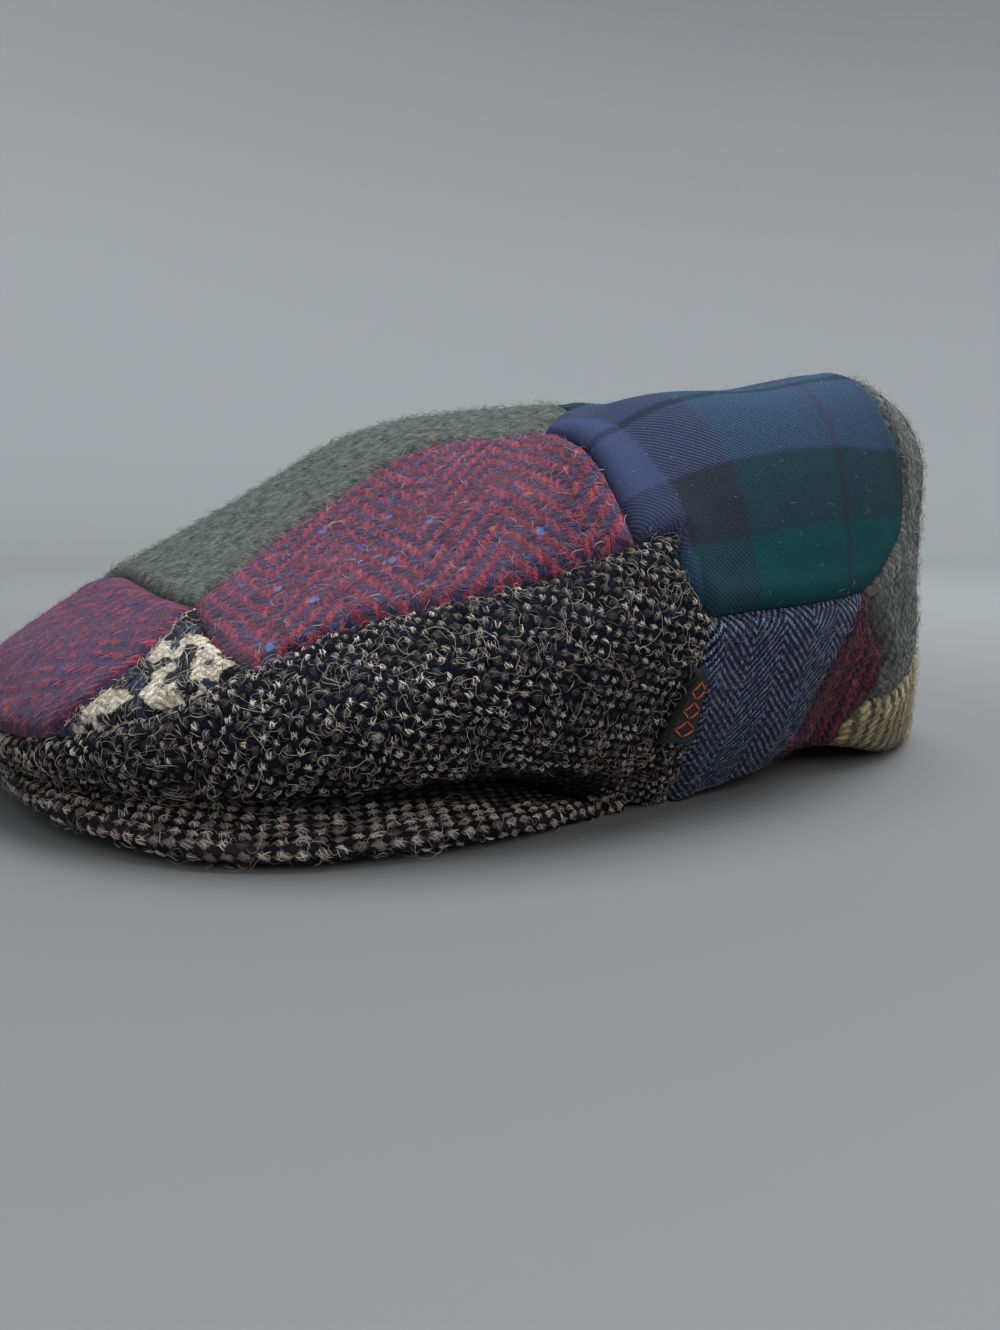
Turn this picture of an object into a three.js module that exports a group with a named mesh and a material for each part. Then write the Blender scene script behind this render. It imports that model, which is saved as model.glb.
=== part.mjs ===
// A flat cap pieced from tweed: seventeen cloth pieces round an open head hollow, a stiff covered
// peak under the front fold, and a small woven tab in the side seam.
// Millimetres, +Z up, peak towards -Y, the wearer's left towards +X, standing on the floor at z = 0.
import * as THREE from 'three';

// ---- driving dimensions ------------------------------------------------------------------------

const CLOTH_WALL = 2; // tweed with its backing
const SEAM_GAP = 0.5; // clear space between two neighbouring pieces
const REST_GAP = 0.5; // clear space between the front fold and the peak it lies on
const TOP_HEIGHT = 89; // middle of the crown
const HEAD_CENTRE_Y = 9.43; // middle of the head hollow
const MID_REACH = 0.55; // ring halfway to the shoulder, as a share of the shoulder's radius
const MID_DROP = 0.24; // and its drop, as a share of the shoulder's

// Sections through the crown, one for each 20 degrees of bearing from the peak round to the back.
// Each ring is [radius from the head's middle, height]: the shoulder where the top turns down, the
// widest side fold, the tuck where the cloth turns under, and the rim that sits on the head.
const SECTION_STEP = 20;
const SECTIONS = [
  { bearing: 0, shoulder: [72, 66], fold: [128, 32], tuck: [132, 12], rim: [81, 22.5] },
  { bearing: 20, shoulder: [74, 64], fold: [130, 30], tuck: [130, 11], rim: [85, 22.5] },
  { bearing: 40, shoulder: [79, 64], fold: [127, 32], tuck: [124, 12], rim: [89, 19] },
  { bearing: 60, shoulder: [82, 69], fold: [115, 40], tuck: [110, 17], rim: [85, 8] },
  { bearing: 80, shoulder: [85, 83], fold: [105, 48], tuck: [98, 21], rim: [80, 0] },
  { bearing: 100, shoulder: [90, 86], fold: [101, 48], tuck: [92, 19], rim: [81, 4] },
  { bearing: 120, shoulder: [93, 91], fold: [102, 46], tuck: [94, 12], rim: [82, 6] },
  { bearing: 140, shoulder: [101, 85], fold: [106, 45], tuck: [104, 4], rim: [90, 2] },
  { bearing: 160, shoulder: [102, 91], fold: [112, 46], tuck: [114, 2], rim: [100, 0] },
  { bearing: 180, shoulder: [103, 93], fold: [116, 48], tuck: [117, 2], rim: [105, 0] },
];

// Levels down the crown: 0 top middle, 1 halfway, 2 shoulder, 3 fold, 4 tuck, 5 rim.
const RIM_LEVEL = 5;

// Hollows in the cloth, the same on both sides.
const HOLLOWS = [
  { bearing: 115, level: 3.9, bearingWidth: 8, levelWidth: 0.8, depth: 5 }, // behind the ear
  { bearing: 62, level: 1.3, bearingWidth: 30, levelWidth: 0.5, depth: 1.5 }, // top of the side
];

// The peak: how far it reaches past the rim and how high the top of its edge lies, at even steps
// from its middle to its end.
const PEAK_SPAN = 76; // bearing of each end
const PEAK_THICKNESS = 3.5;
const PEAK_BEVEL = 0.9;
const PEAK_COLUMNS = 28;
const PEAK_ROWS = [0, 0.25, 0.5, 0.75, 0.96, 1]; // shares of the reach
const PEAK_EDGE = [
  { reach: 51, height: 8.5 },
  { reach: 50, height: 7 },
  { reach: 43, height: 4.5 },
  { reach: 24, height: 5.5 },
  { reach: 4, height: 3.5 },
];

// Where the cloth is sewn on the wearer's left: each seam's route as [bearing, level], and the
// number of steps it is cut into.
const SEAMS = {
  frontTop: { steps: 5, route: [[0, 2.52], [12, 2.53], [24, 2.56]] },
  frontSide: { steps: 5, route: [[24, 2.56], [25, 2.73], [25, 2.88], [22, 3.17], [20, 3.37]] },
  frontBottom: { steps: 5, route: [[0, 3.5], [12, 3.46], [20, 3.37]] },
  gussetTop: { steps: 5, route: [[24, 2.56], [31, 2.71], [38, 2.87]] },
  gussetTail: { steps: 5, route: [[31, 3.12], [34, 2.99], [38, 2.87]] },
  gussetBottom: { steps: 5, route: [[20, 3.37], [26, 3.24], [31, 3.12]] },
  topSide: { steps: 10, route: [[24, 2.56], [25, 2.2], [29, 1.8], [35, 1.48], [47, 1.24], [66, 1.42]] },
  topAcross: { steps: 5, route: [[88, 0], [84, 0.5], [77, 0.95], [70, 1.2], [66, 1.42]] },
  topBack: { steps: 5, route: [[66, 1.42], [70, 2.07], [73, 2.67]] },
  sideTop: { steps: 10, route: [[38, 2.87], [45, 2.7], [59, 2.68], [73, 2.67]] },
  sideCorner: { steps: 1, route: [[73, 2.67], [78, 2.68]] },
  sideStep: { steps: 3, route: [[78, 2.68], [78.5, 2.93], [81.5, 3.2]] },
  sideSeam: { steps: 10, route: [[81.5, 3.2], [80.5, 3.6], [82, 4.1], [85, RIM_LEVEL]] },
  rearTop: { steps: 6, route: [[81.5, 3.2], [96, 3.15], [112, 3.05]] },
  rearBack: {
    steps: 10,
    route: [[112, 3.05], [110, 3.28], [107, 3.6], [107, 4], [108, 4.4], [109, RIM_LEVEL]],
  },
  tuckBack: { steps: 5, route: [[112, 3.05], [117, 3.23], [121, 3.35], [124, 3.52]] },
  tuckEnd: { steps: 2, route: [[124, 3.52], [124, 3.62], [123, 3.74]] },
  lowerFront: { steps: 8, route: [[123, 3.74], [121, 4], [122, 4.35], [124, RIM_LEVEL]] },
  lowerTop: {
    steps: 14,
    route: [[123, 3.74], [128, 3.67], [134, 3.55], [139, 3.42], [158, 3.3], [180, 3.25]],
  },
  backSide: {
    steps: 7,
    route: [[112, 3.05], [118, 2.9], [123, 2.73], [124, 2.46], [121, 2.2], [120, 1.85]],
  },
  backTop: { steps: 7, route: [[120, 1.85], [127, 1.7], [150, 1.6], [180, 1.6]] },
  frontCentre: { steps: 13, route: [[0, 3.5], [0, RIM_LEVEL]] },
  backCentre: { steps: 7, route: [[180, 1.6], [180, 3.25]] },
  lowerCentre: { steps: 8, route: [[180, 3.25], [180, RIM_LEVEL]] },
  sideRim: { steps: 26, route: [[0, RIM_LEVEL], [85, RIM_LEVEL]] },
  rearRim: { steps: 6, route: [[85, RIM_LEVEL], [109, RIM_LEVEL]] },
  tuckRim: { steps: 5, route: [[109, RIM_LEVEL], [124, RIM_LEVEL]] },
  lowerRim: { steps: 14, route: [[124, RIM_LEVEL], [180, RIM_LEVEL]] },
};

// The woven tab: its edges on the side piece, its clear space from the cloth, and its thickness.
const TAB_EDGES = {
  top: { steps: 3, route: [[79, 3.52], [81, 3.52]] },
  bottom: { steps: 3, route: [[76.5, 4.1], [81.8, 4.17]] },
  left: { steps: 6, route: [[79, 3.52], [76.5, 4.1]] },
  right: { steps: 6, route: [[81, 3.52], [81.8, 4.17]] },
};
const TAB_GAP = 0.4;
const TAB_THICKNESS = 1.2;

// Colour and roughness of each cloth.
const CLOTHS = {
  basket: { color: 0x4a443f, roughness: 0.95 },
  maroon: { color: 0x4a2233, roughness: 0.95 },
  cream: { color: 0xb3a58c, roughness: 0.95 },
  rose: { color: 0x6e3843, roughness: 0.95 },
  green: { color: 0x4c5550, roughness: 0.95 },
  tartan: { color: 0x2c3347, roughness: 0.85 },
  blue: { color: 0x2f3744, roughness: 0.95 },
  wine: { color: 0x3a1c26, roughness: 0.95 },
  grey: { color: 0x55575a, roughness: 0.95 },
  mustard: { color: 0x6b5a3c, roughness: 0.95 },
  tab: { color: 0x20302c, roughness: 0.8 },
};

// ---- the shape of the crown and the peak -------------------------------------------------------

const { clamp, degToRad, euclideanModulo, lerp, radToDeg } = THREE.MathUtils;

// A smooth curve through four numbers, from the second to the third.
function smooth(a, b, c, d, t) {
  const rise = (c - a) * t;
  const bend = (2 * a - 5 * b + 4 * c - d) * t * t;
  const turn = (3 * b - a - 3 * c + d) * t * t * t;
  return 0.5 * (2 * b + rise + bend + turn);
}

// Reads a column of evenly spaced rows at a place between them, mirrored past both ends.
function readRows(rows, place, column) {
  const last = rows.length - 1;
  const first = clamp(Math.floor(place), 0, last - 1);
  const at = (index) => column(rows[last - Math.abs(last - Math.abs(index))]);
  return smooth(at(first - 1), at(first), at(first + 1), at(first + 2), place - first);
}

// Degrees away from the middle of the peak, 0 to 180.
function awayFromPeak(bearing) {
  return Math.abs(euclideanModulo(bearing + 180, 360) - 180);
}

function ringAt(bearing, ring, part) {
  return readRows(SECTIONS, awayFromPeak(bearing) / SECTION_STEP, (row) => row[ring][part]);
}

// Height of the peak's upper face at a bearing and a radius.
function peakTop(bearing, radius) {
  const place = clamp(awayFromPeak(bearing) / PEAK_SPAN, 0, 1) * (PEAK_EDGE.length - 1);
  const reach = readRows(PEAK_EDGE, place, (row) => row.reach);
  const edgeHeight = readRows(PEAK_EDGE, place, (row) => row.height);
  const out = clamp((radius - ringAt(bearing, 'rim', 0)) / reach, 0, 1);
  return lerp(ringAt(bearing, 'rim', 1) - REST_GAP, edgeHeight, out);
}

function placeAt(bearing, radius, height) {
  const turn = degToRad(bearing);
  return new THREE.Vector3(radius * Math.sin(turn), HEAD_CENTRE_Y - radius * Math.cos(turn), height);
}

function hollowDepth(bearing, level) {
  let depth = 0;
  for (const hollow of HOLLOWS) {
    const across = (awayFromPeak(bearing) - hollow.bearing) / hollow.bearingWidth;
    const down = (level - hollow.level) / hollow.levelWidth;
    depth += hollow.depth * Math.exp(-across * across - down * down);
  }
  return depth;
}

// A point on the outside of the crown. It lies on the peak and on the floor where it meets them.
function crownPoint(bearing, level) {
  const ring = (name) => [ringAt(bearing, name, 0), ringAt(bearing, name, 1)];
  const [shoulder, fold, tuck, rim] = ['shoulder', 'fold', 'tuck', 'rim'].map(ring);
  const midRadius = MID_REACH * shoulder[0];
  const midHeight = lerp(TOP_HEIGHT, shoulder[1], MID_DROP);
  const beyondRim = [2 * rim[0] - tuck[0], 2 * rim[1] - tuck[1]];
  const ladder = [[-midRadius, midHeight], [0, TOP_HEIGHT], [midRadius, midHeight]];
  ladder.push(shoulder, fold, tuck, rim, beyondRim);
  const step = clamp(Math.floor(level), 0, RIM_LEVEL - 1);
  const [a, b, c, d] = ladder.slice(step, step + 4);
  const depth = hollowDepth(bearing, level);
  const sideways = clamp((level - 1.2) / 1.5, 0, 1); // the top sinks, the sides pull in
  const radius = smooth(a[0], b[0], c[0], d[0], level - step) - depth * sideways;
  let height = smooth(a[1], b[1], c[1], d[1], level - step) - depth * (1 - sideways);
  if (awayFromPeak(bearing) <= PEAK_SPAN) {
    height = Math.max(height, peakTop(bearing, radius) + REST_GAP);
  }
  return placeAt(bearing, radius, Math.max(height, 0));
}

// The crown unrolled on a flat plan, with the level as the distance from its middle.
function toPlan(bearing, level) {
  const turn = degToRad(bearing);
  return new THREE.Vector2(level * Math.sin(turn), -level * Math.cos(turn));
}

function planPoint(spot) {
  return crownPoint(radToDeg(Math.atan2(spot.x, -spot.y)), Math.min(spot.length(), RIM_LEVEL));
}

// The way out of the cloth at a spot on the plan.
function planNormal(spot) {
  const step = 0.03;
  const inside = spot.clone().setLength(Math.min(spot.length(), RIM_LEVEL - step));
  const shifted = (x, y) => planPoint(inside.clone().add(new THREE.Vector2(x, y)));
  const across = shifted(step, 0).sub(shifted(-step, 0));
  const along = shifted(0, step).sub(shifted(0, -step));
  return across.cross(along).normalize();
}

// ---- seams and the sides of a piece ------------------------------------------------------------

const backwards = ({ steps, route }) => ({ steps, route: [...route].reverse() });
const mirrored = ({ steps, route }) => ({
  steps,
  route: route.map(([bearing, level]) => [-bearing, level]),
});
const roundTheBack = ({ steps, route }) => ({
  steps,
  route: route.map(([bearing, level]) => [360 - bearing, level]),
});

// Spots on the plan at even steps along one seam.
function spotsAlong({ steps, route }) {
  const curve = new THREE.SplineCurve(route.map((spot) => new THREE.Vector2(...spot)));
  const fine = curve.getPoints(40 * route.length).map((spot) => toPlan(spot.x, spot.y));
  const run = [0];
  for (let i = 1; i < fine.length; i += 1) {
    run.push(run[i - 1] + fine[i].distanceTo(fine[i - 1]));
  }
  const spots = [fine[0]];
  let i = 1;
  for (let k = 1; k < steps; k += 1) {
    const goal = (k / steps) * run[run.length - 1];
    while (run[i] < goal) {
      i += 1;
    }
    spots.push(fine[i - 1].clone().lerp(fine[i], (goal - run[i - 1]) / (run[i] - run[i - 1])));
  }
  spots.push(fine[fine.length - 1]);
  return spots;
}

// One side of a piece: the spots of its seams, joined end to end.
function sideOf(...seams) {
  return seams.flatMap((seam, index) => spotsAlong(seam).slice(index === 0 ? 0 : 1));
}

// A side that crosses the middle of the cap, from its half on the wearer's left. Its seams run
// outwards from the middle; their other halves are mirrored at the front or round the back.
function acrossMiddle(otherHand, ...seams) {
  const otherHalf = [...seams].reverse().map((seam) => otherHand(backwards(seam)));
  return sideOf(...otherHalf, ...seams);
}

// The same sides on the wearer's right, where left and right change places.
function flipped({ top, bottom, left, right }) {
  const flip = (side) => side.map((spot) => new THREE.Vector2(-spot.x, spot.y));
  return {
    top: flip(top).reverse(),
    bottom: flip(bottom).reverse(),
    left: flip(right),
    right: flip(left),
  };
}

// Fills the space between four sides with rows of spots. Seen from outside, the top and the bottom
// run from left to right, and the left and the right run down.
function fillBetween({ top, bottom, left, right }) {
  const columns = top.length - 1;
  const rows = left.length - 1;
  return left.map((leftSpot, j) => top.map((topSpot, i) => {
    const u = i / columns;
    const v = j / rows;
    const spot = topSpot.clone().multiplyScalar(1 - v).addScaledVector(bottom[i], v);
    spot.addScaledVector(leftSpot, 1 - u).addScaledVector(right[j], u);
    spot.addScaledVector(top[0], -(1 - u) * (1 - v)).addScaledVector(top[columns], -u * (1 - v));
    return spot.addScaledVector(bottom[0], -(1 - u) * v).addScaledVector(bottom[columns], -u * v);
  }));
}

// ---- solids ------------------------------------------------------------------------------------

// Closes an outer and an inner grid of points into one wall. Each four-cornered face is cut along
// its shorter diagonal, so two neighbours cut the face they share the same way.
function wallBetween(outer, inner) {
  const rows = outer.length;
  const columns = outer[0].length;
  const points = [...outer.flat(), ...inner.flat()];
  const at = (layer, j, i) => (layer * rows + j) * columns + i;
  const faces = [];
  const quad = (a, b, c, d) => {
    const cutAtA = points[a].distanceTo(points[c]) < points[b].distanceTo(points[d]);
    faces.push(...(cutAtA ? [a, b, c, a, c, d] : [b, c, d, b, d, a]));
  };
  for (let j = 0; j < rows - 1; j += 1) {
    for (let i = 0; i < columns - 1; i += 1) {
      quad(at(0, j, i), at(0, j + 1, i), at(0, j + 1, i + 1), at(0, j, i + 1));
      quad(at(1, j, i), at(1, j, i + 1), at(1, j + 1, i + 1), at(1, j + 1, i));
    }
  }
  const rim = [];
  for (let i = 0; i < columns - 1; i += 1) {
    rim.push([[0, i + 1], [0, i]], [[rows - 1, i], [rows - 1, i + 1]]);
  }
  for (let j = 0; j < rows - 1; j += 1) {
    rim.push([[j, 0], [j + 1, 0]], [[j + 1, columns - 1], [j, columns - 1]]);
  }
  for (const [from, to] of rim) {
    quad(at(0, ...to), at(0, ...from), at(1, ...from), at(1, ...to));
  }
  const geometry = new THREE.BufferGeometry().setFromPoints(points);
  geometry.setIndex(faces);
  return geometry;
}

function meshOf(name, cloth, geometry) {
  geometry.computeVertexNormals();
  const mesh = new THREE.Mesh(geometry, new THREE.MeshStandardMaterial({ ...CLOTHS[cloth], metalness: 0 }));
  mesh.name = name;
  return mesh;
}

// Draws the edges of a grid in from its seams, square to each seam. A free bottom edge stays.
function drawnIn(grid, freeBottom) {
  const lastRow = grid.length - 1;
  const lastColumn = grid[0].length - 1;
  return grid.map((line, j) => line.map((point, i) => {
    const moved = point.clone();
    const drawTowards = (inner, before, after) => {
      const along = after.clone().sub(before).normalize();
      const inwards = inner.clone().sub(point);
      inwards.addScaledVector(along, -inwards.dot(along));
      moved.add(inwards.setLength(SEAM_GAP / 2));
    };
    const beside = [line[Math.max(i - 1, 0)], line[Math.min(i + 1, lastColumn)]];
    const upAndDown = [grid[Math.max(j - 1, 0)][i], grid[Math.min(j + 1, lastRow)][i]];
    if (j === 0) drawTowards(grid[1][i], ...beside);
    if (j === lastRow && !freeBottom) drawTowards(grid[lastRow - 1][i], ...beside);
    if (i === 0) drawTowards(line[1], ...upAndDown);
    if (i === lastColumn) drawTowards(line[lastColumn - 1], ...upAndDown);
    moved.z = point.z === 0 ? 0 : Math.max(moved.z, 0);
    return moved;
  }));
}

// A piece of the crown: its cloth lies between four sides and its wall is on the inside.
function clothPiece(name, cloth, sides, onRim = false) {
  const plan = fillBetween(sides);
  const outer = drawnIn(plan.map((line) => line.map(planPoint)), onRim);
  const inner = outer.map((line, j) => line.map((point, i) => {
    const sunk = point.clone().addScaledVector(planNormal(plan[j][i]), -CLOTH_WALL);
    const rimOnFloor = onRim && j === outer.length - 1 && point.z === 0;
    sunk.z = rimOnFloor ? 0 : Math.max(sunk.z, 0);
    return sunk;
  }));
  return meshOf(name, cloth, wallBetween(outer, inner));
}

// The stiff peak, under the front fold and out past it, with its edge bevelled.
function peak() {
  const face = (heightOf) => PEAK_ROWS.map((out) => {
    const line = [];
    for (let i = 0; i <= PEAK_COLUMNS; i += 1) {
      const share = (2 * i) / PEAK_COLUMNS - 1;
      const bearing = share * PEAK_SPAN;
      const reach = readRows(PEAK_EDGE, Math.abs(share) * (PEAK_EDGE.length - 1), (row) => row.reach);
      const radius = ringAt(bearing, 'rim', 0) + out * reach;
      const height = heightOf(peakTop(bearing, radius), out === 1 ? PEAK_BEVEL : 0);
      line.push(placeAt(bearing, radius, height));
    }
    return line;
  });
  const upper = face((top, bevel) => top - bevel);
  const lower = face((top, bevel) => Math.max(top - PEAK_THICKNESS, 0) + bevel);
  return meshOf('peak', 'basket', wallBetween(upper, lower));
}

// The woven tab, lying on the side piece by the seam.
function sideTab() {
  const edges = Object.entries(TAB_EDGES).map(([edge, seam]) => [edge, spotsAlong(seam)]);
  const plan = fillBetween(Object.fromEntries(edges));
  const lifted = (lift) => plan.map((line) => line.map(
    (spot) => planPoint(spot).addScaledVector(planNormal(spot), lift),
  ));
  return meshOf('side_tab', 'tab', wallBetween(lifted(TAB_GAP + TAB_THICKNESS), lifted(TAB_GAP)));
}

// ---- the cap -----------------------------------------------------------------------------------

const cap = new THREE.Group();
const s = SEAMS;

// Pieces that cross the middle of the cap.
cap.add(clothPiece('front_panel', 'maroon', {
  top: acrossMiddle(mirrored, s.frontTop),
  bottom: acrossMiddle(mirrored, s.frontBottom),
  left: sideOf(mirrored(s.frontSide)),
  right: sideOf(s.frontSide),
}));
cap.add(clothPiece('top_front', 'green', {
  top: acrossMiddle(mirrored, s.topAcross),
  bottom: acrossMiddle(mirrored, s.frontTop),
  left: sideOf(mirrored(backwards(s.topSide))),
  right: sideOf(backwards(s.topSide)),
}));
cap.add(clothPiece('top_rear', 'tartan', {
  top: acrossMiddle(roundTheBack, backwards(s.backTop), backwards(s.backSide)),
  bottom: acrossMiddle(mirrored, s.topAcross, s.topBack, s.sideCorner, s.sideStep),
  left: sideOf(mirrored(backwards(s.rearTop))),
  right: sideOf(backwards(s.rearTop)),
}));

// Pieces in pairs, cut for the wearer's left and turned over for the right.
const PAIRS = [
  {
    name: 'gusset',
    cloths: { left: 'cream', right: 'mustard' },
    sides: {
      top: sideOf(s.gussetTop),
      bottom: sideOf(s.gussetBottom),
      left: sideOf(s.frontSide),
      right: sideOf(backwards(s.gussetTail)),
    },
  },
  {
    name: 'top',
    cloths: { left: 'rose', right: 'grey' },
    sides: {
      top: sideOf(s.topSide),
      bottom: sideOf(s.sideTop),
      left: sideOf(s.gussetTop),
      right: sideOf(s.topBack),
    },
  },
  {
    name: 'side_front',
    cloths: { left: 'basket', right: 'blue' },
    onRim: true,
    sides: {
      top: sideOf(s.frontBottom, s.gussetBottom, s.gussetTail, s.sideTop, s.sideCorner),
      bottom: sideOf(s.sideRim),
      left: sideOf(s.frontCentre),
      right: sideOf(s.sideStep, s.sideSeam),
    },
  },
  {
    name: 'side_rear',
    cloths: { left: 'blue', right: 'basket' },
    onRim: true,
    sides: {
      top: sideOf(s.rearTop),
      bottom: sideOf(s.rearRim),
      left: sideOf(s.sideSeam),
      right: sideOf(s.rearBack),
    },
  },
  {
    name: 'back_gusset',
    cloths: { left: 'wine', right: 'green' },
    onRim: true,
    sides: {
      top: sideOf(s.tuckBack),
      bottom: sideOf(s.tuckRim),
      left: sideOf(s.rearBack),
      right: sideOf(s.tuckEnd, s.lowerFront),
    },
  },
  {
    name: 'back',
    cloths: { left: 'grey', right: 'rose' },
    sides: {
      top: sideOf(s.backSide, s.backTop),
      bottom: sideOf(s.lowerTop),
      left: sideOf(s.tuckBack, s.tuckEnd),
      right: sideOf(s.backCentre),
    },
  },
  {
    name: 'back_lower',
    cloths: { left: 'mustard', right: 'maroon' },
    onRim: true,
    sides: {
      top: sideOf(s.lowerTop),
      bottom: sideOf(s.lowerRim),
      left: sideOf(s.lowerFront),
      right: sideOf(s.lowerCentre),
    },
  },
];
for (const { name, cloths, sides, onRim } of PAIRS) {
  cap.add(clothPiece(`left_${name}`, cloths.left, sides, onRim));
  cap.add(clothPiece(`right_${name}`, cloths.right, flipped(sides), onRim));
}

cap.add(peak());
cap.add(sideTab());

export default cap;
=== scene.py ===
import math

import bpy
import numpy as np
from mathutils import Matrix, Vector
from mathutils.kdtree import KDTree


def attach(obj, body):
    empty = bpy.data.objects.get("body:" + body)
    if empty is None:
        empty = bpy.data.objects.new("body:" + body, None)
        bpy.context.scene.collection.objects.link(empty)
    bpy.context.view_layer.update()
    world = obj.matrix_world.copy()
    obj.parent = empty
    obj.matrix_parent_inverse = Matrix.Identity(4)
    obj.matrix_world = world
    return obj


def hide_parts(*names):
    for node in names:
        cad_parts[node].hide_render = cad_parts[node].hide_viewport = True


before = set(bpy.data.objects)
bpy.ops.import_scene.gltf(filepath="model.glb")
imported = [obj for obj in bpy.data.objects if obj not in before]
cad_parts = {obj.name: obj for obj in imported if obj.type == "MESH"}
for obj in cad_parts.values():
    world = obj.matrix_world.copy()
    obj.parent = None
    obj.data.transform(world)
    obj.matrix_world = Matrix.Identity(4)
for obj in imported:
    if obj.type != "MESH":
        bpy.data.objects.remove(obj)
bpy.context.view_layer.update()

print("frame loaded:", len(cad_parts), "cloth solids")

cameraLook = {
    "azimuth": 61.1,     # degrees round from the peak, towards the wearer's left
    "distance": 0.314,
    "height": 0.0629,
    "lens": 31.5,
    "turn": -1.0,        # degrees the lens looks past the middle of the cap
    "tiltDown": 7.57,
}

roomLook = {
    # the floor colour near the cap is painted shade, darker to offset the overhead lamp
    "floorColour": (0.15, 0.15, 0.15),
    "wallColour": (0.66, 0.66, 0.66),
    "floorRadius": 1.15,
    "wallBend": 0.6,     # radius of the curve between floor and wall
    "wallHeight": 1.3,
    "sides": 96,
    "bendSteps": 12,
    "shadeFade": (0.15, 1.8),  # metres out, where the floor's painted shade starts and stops fading to the paler wall colour
    "worldColour": (0.78, 0.86, 0.95, 1),
    "worldStrength": 0.3,
}

lightsAimAt = Vector((0, 0, 0.04))
lightLooks = [
    {"name": "overheadLight", "at": (0.1, 0.25, 1.05), "size": 0.8, "watts": 20, "colour": (0.92, 0.97, 1)},
    {"name": "frontLight", "at": (1.0, -0.3, 0.7), "size": 0.6, "watts": 4.6, "colour": (1, 0.98, 0.96)},
]


def plug(tree, socket, value):
    # a socket is joined up, anything else is set
    if isinstance(value, bpy.types.NodeSocket):
        tree.links.new(value, socket)
    elif hasattr(value, "__len__") and len(socket.default_value) == 4:
        socket.default_value = (*value, 1)
    else:
        socket.default_value = value


def calc(tree, operation, *values):
    node = tree.nodes.new("ShaderNodeMath")
    node.operation = operation
    for socket, value in zip(node.inputs, values):
        plug(tree, socket, value)
    return node.outputs[0]


def joinUp(tree, x, y, z=0.0):
    node = tree.nodes.new("ShaderNodeCombineXYZ")
    for socket, value in zip(node.inputs, (x, y, z)):
        plug(tree, socket, value)
    return node.outputs[0]


def mixColour(tree, factor, first, second, blend="MIX"):
    node = tree.nodes.new("ShaderNodeMix")
    node.data_type = "RGBA"
    node.blend_type = blend
    sockets = {socket.identifier: socket for socket in node.inputs}
    plug(tree, sockets["Factor_Float"], factor)
    plug(tree, sockets["A_Color"], first)
    plug(tree, sockets["B_Color"], second)
    return next(socket for socket in node.outputs if socket.identifier == "Result_Color")


def randomAt(tree, x, y, z=0.0):
    node = tree.nodes.new("ShaderNodeTexWhiteNoise")
    node.noise_dimensions = "3D"
    tree.links.new(joinUp(tree, x, y, z), node.inputs["Vector"])
    return node.outputs["Value"]


def noiseAt(tree, vector, scale, detail=2.0, roughness=0.55, output="Fac"):
    node = tree.nodes.new("ShaderNodeTexNoise")
    node.noise_dimensions = "3D"
    tree.links.new(vector, node.inputs["Vector"])
    node.inputs["Scale"].default_value = scale
    node.inputs["Detail"].default_value = detail
    node.inputs["Roughness"].default_value = roughness
    return node.outputs[output]


def spread(tree, value, low, high, least=0.0, most=1.0):
    # stretches low..high to least..most
    node = tree.nodes.new("ShaderNodeMapRange")
    tree.links.new(value, node.inputs["Value"])
    for name, number in (("From Min", low), ("From Max", high), ("To Min", least), ("To Max", most)):
        node.inputs[name].default_value = number
    return node.outputs["Result"]


def moved(tree, vector, shift):
    node = tree.nodes.new("ShaderNodeVectorMath")
    node.operation = "ADD"
    tree.links.new(vector, node.inputs[0])
    plug(tree, node.inputs[1], shift)
    return node.outputs[0]


def makeCamera(look):
    around = math.radians(look["azimuth"])
    spot = Vector((look["distance"] * math.sin(around), -look["distance"] * math.cos(around), look["height"]))
    facing = around + math.radians(look["turn"])
    down = math.radians(look["tiltDown"])
    forward = Vector((-math.sin(facing) * math.cos(down), math.cos(facing) * math.cos(down), -math.sin(down)))
    camera = bpy.data.objects.new("capCamera", bpy.data.cameras.new("capCamera"))
    camera.data.lens = look["lens"]
    camera.data.clip_start = 0.01
    camera.location = spot
    camera.rotation_mode = "QUATERNION"
    camera.rotation_quaternion = forward.to_track_quat("-Z", "Y")
    bpy.context.scene.collection.objects.link(camera)
    bpy.context.scene.camera = camera


def makeRoom(look):
    # a floor that curves up into a pale round backdrop; the floor is painted dark near the cap, painted shade
    # that evens out the pool of light under the overhead lamp
    sides, wallBend = look["sides"], look["wallBend"]
    rings = [(look["floorRadius"] * 0.5, 0.0), (look["floorRadius"], 0.0)]
    for k in range(1, look["bendSteps"] + 1):
        bend = math.radians(90 * k / look["bendSteps"])
        rings.append((look["floorRadius"] + wallBend * math.sin(bend), wallBend * (1 - math.cos(bend))))
    rings.append((look["floorRadius"] + wallBend, look["wallHeight"]))
    corners = [(0, 0, 0)]
    faces = []
    for radius, height in rings:
        for i in range(sides):
            turn = 2 * math.pi * i / sides
            corners.append((radius * math.cos(turn), radius * math.sin(turn), height))
    for i in range(sides):
        faces.append((0, 1 + i, 1 + (i + 1) % sides))
    for j in range(len(rings) - 1):
        for i in range(sides):
            a, b = 1 + j * sides + i, 1 + j * sides + (i + 1) % sides
            faces.append((a, a + sides, b + sides, b))
    mesh = bpy.data.meshes.new("studioFloor")
    mesh.from_pydata(corners, [], faces)
    mesh.polygons.foreach_set("use_smooth", [True] * len(faces))
    floor = bpy.data.objects.new("studioFloor", mesh)
    bpy.context.scene.collection.objects.link(floor)
    mesh.materials.append(floorPaint(look))


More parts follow.
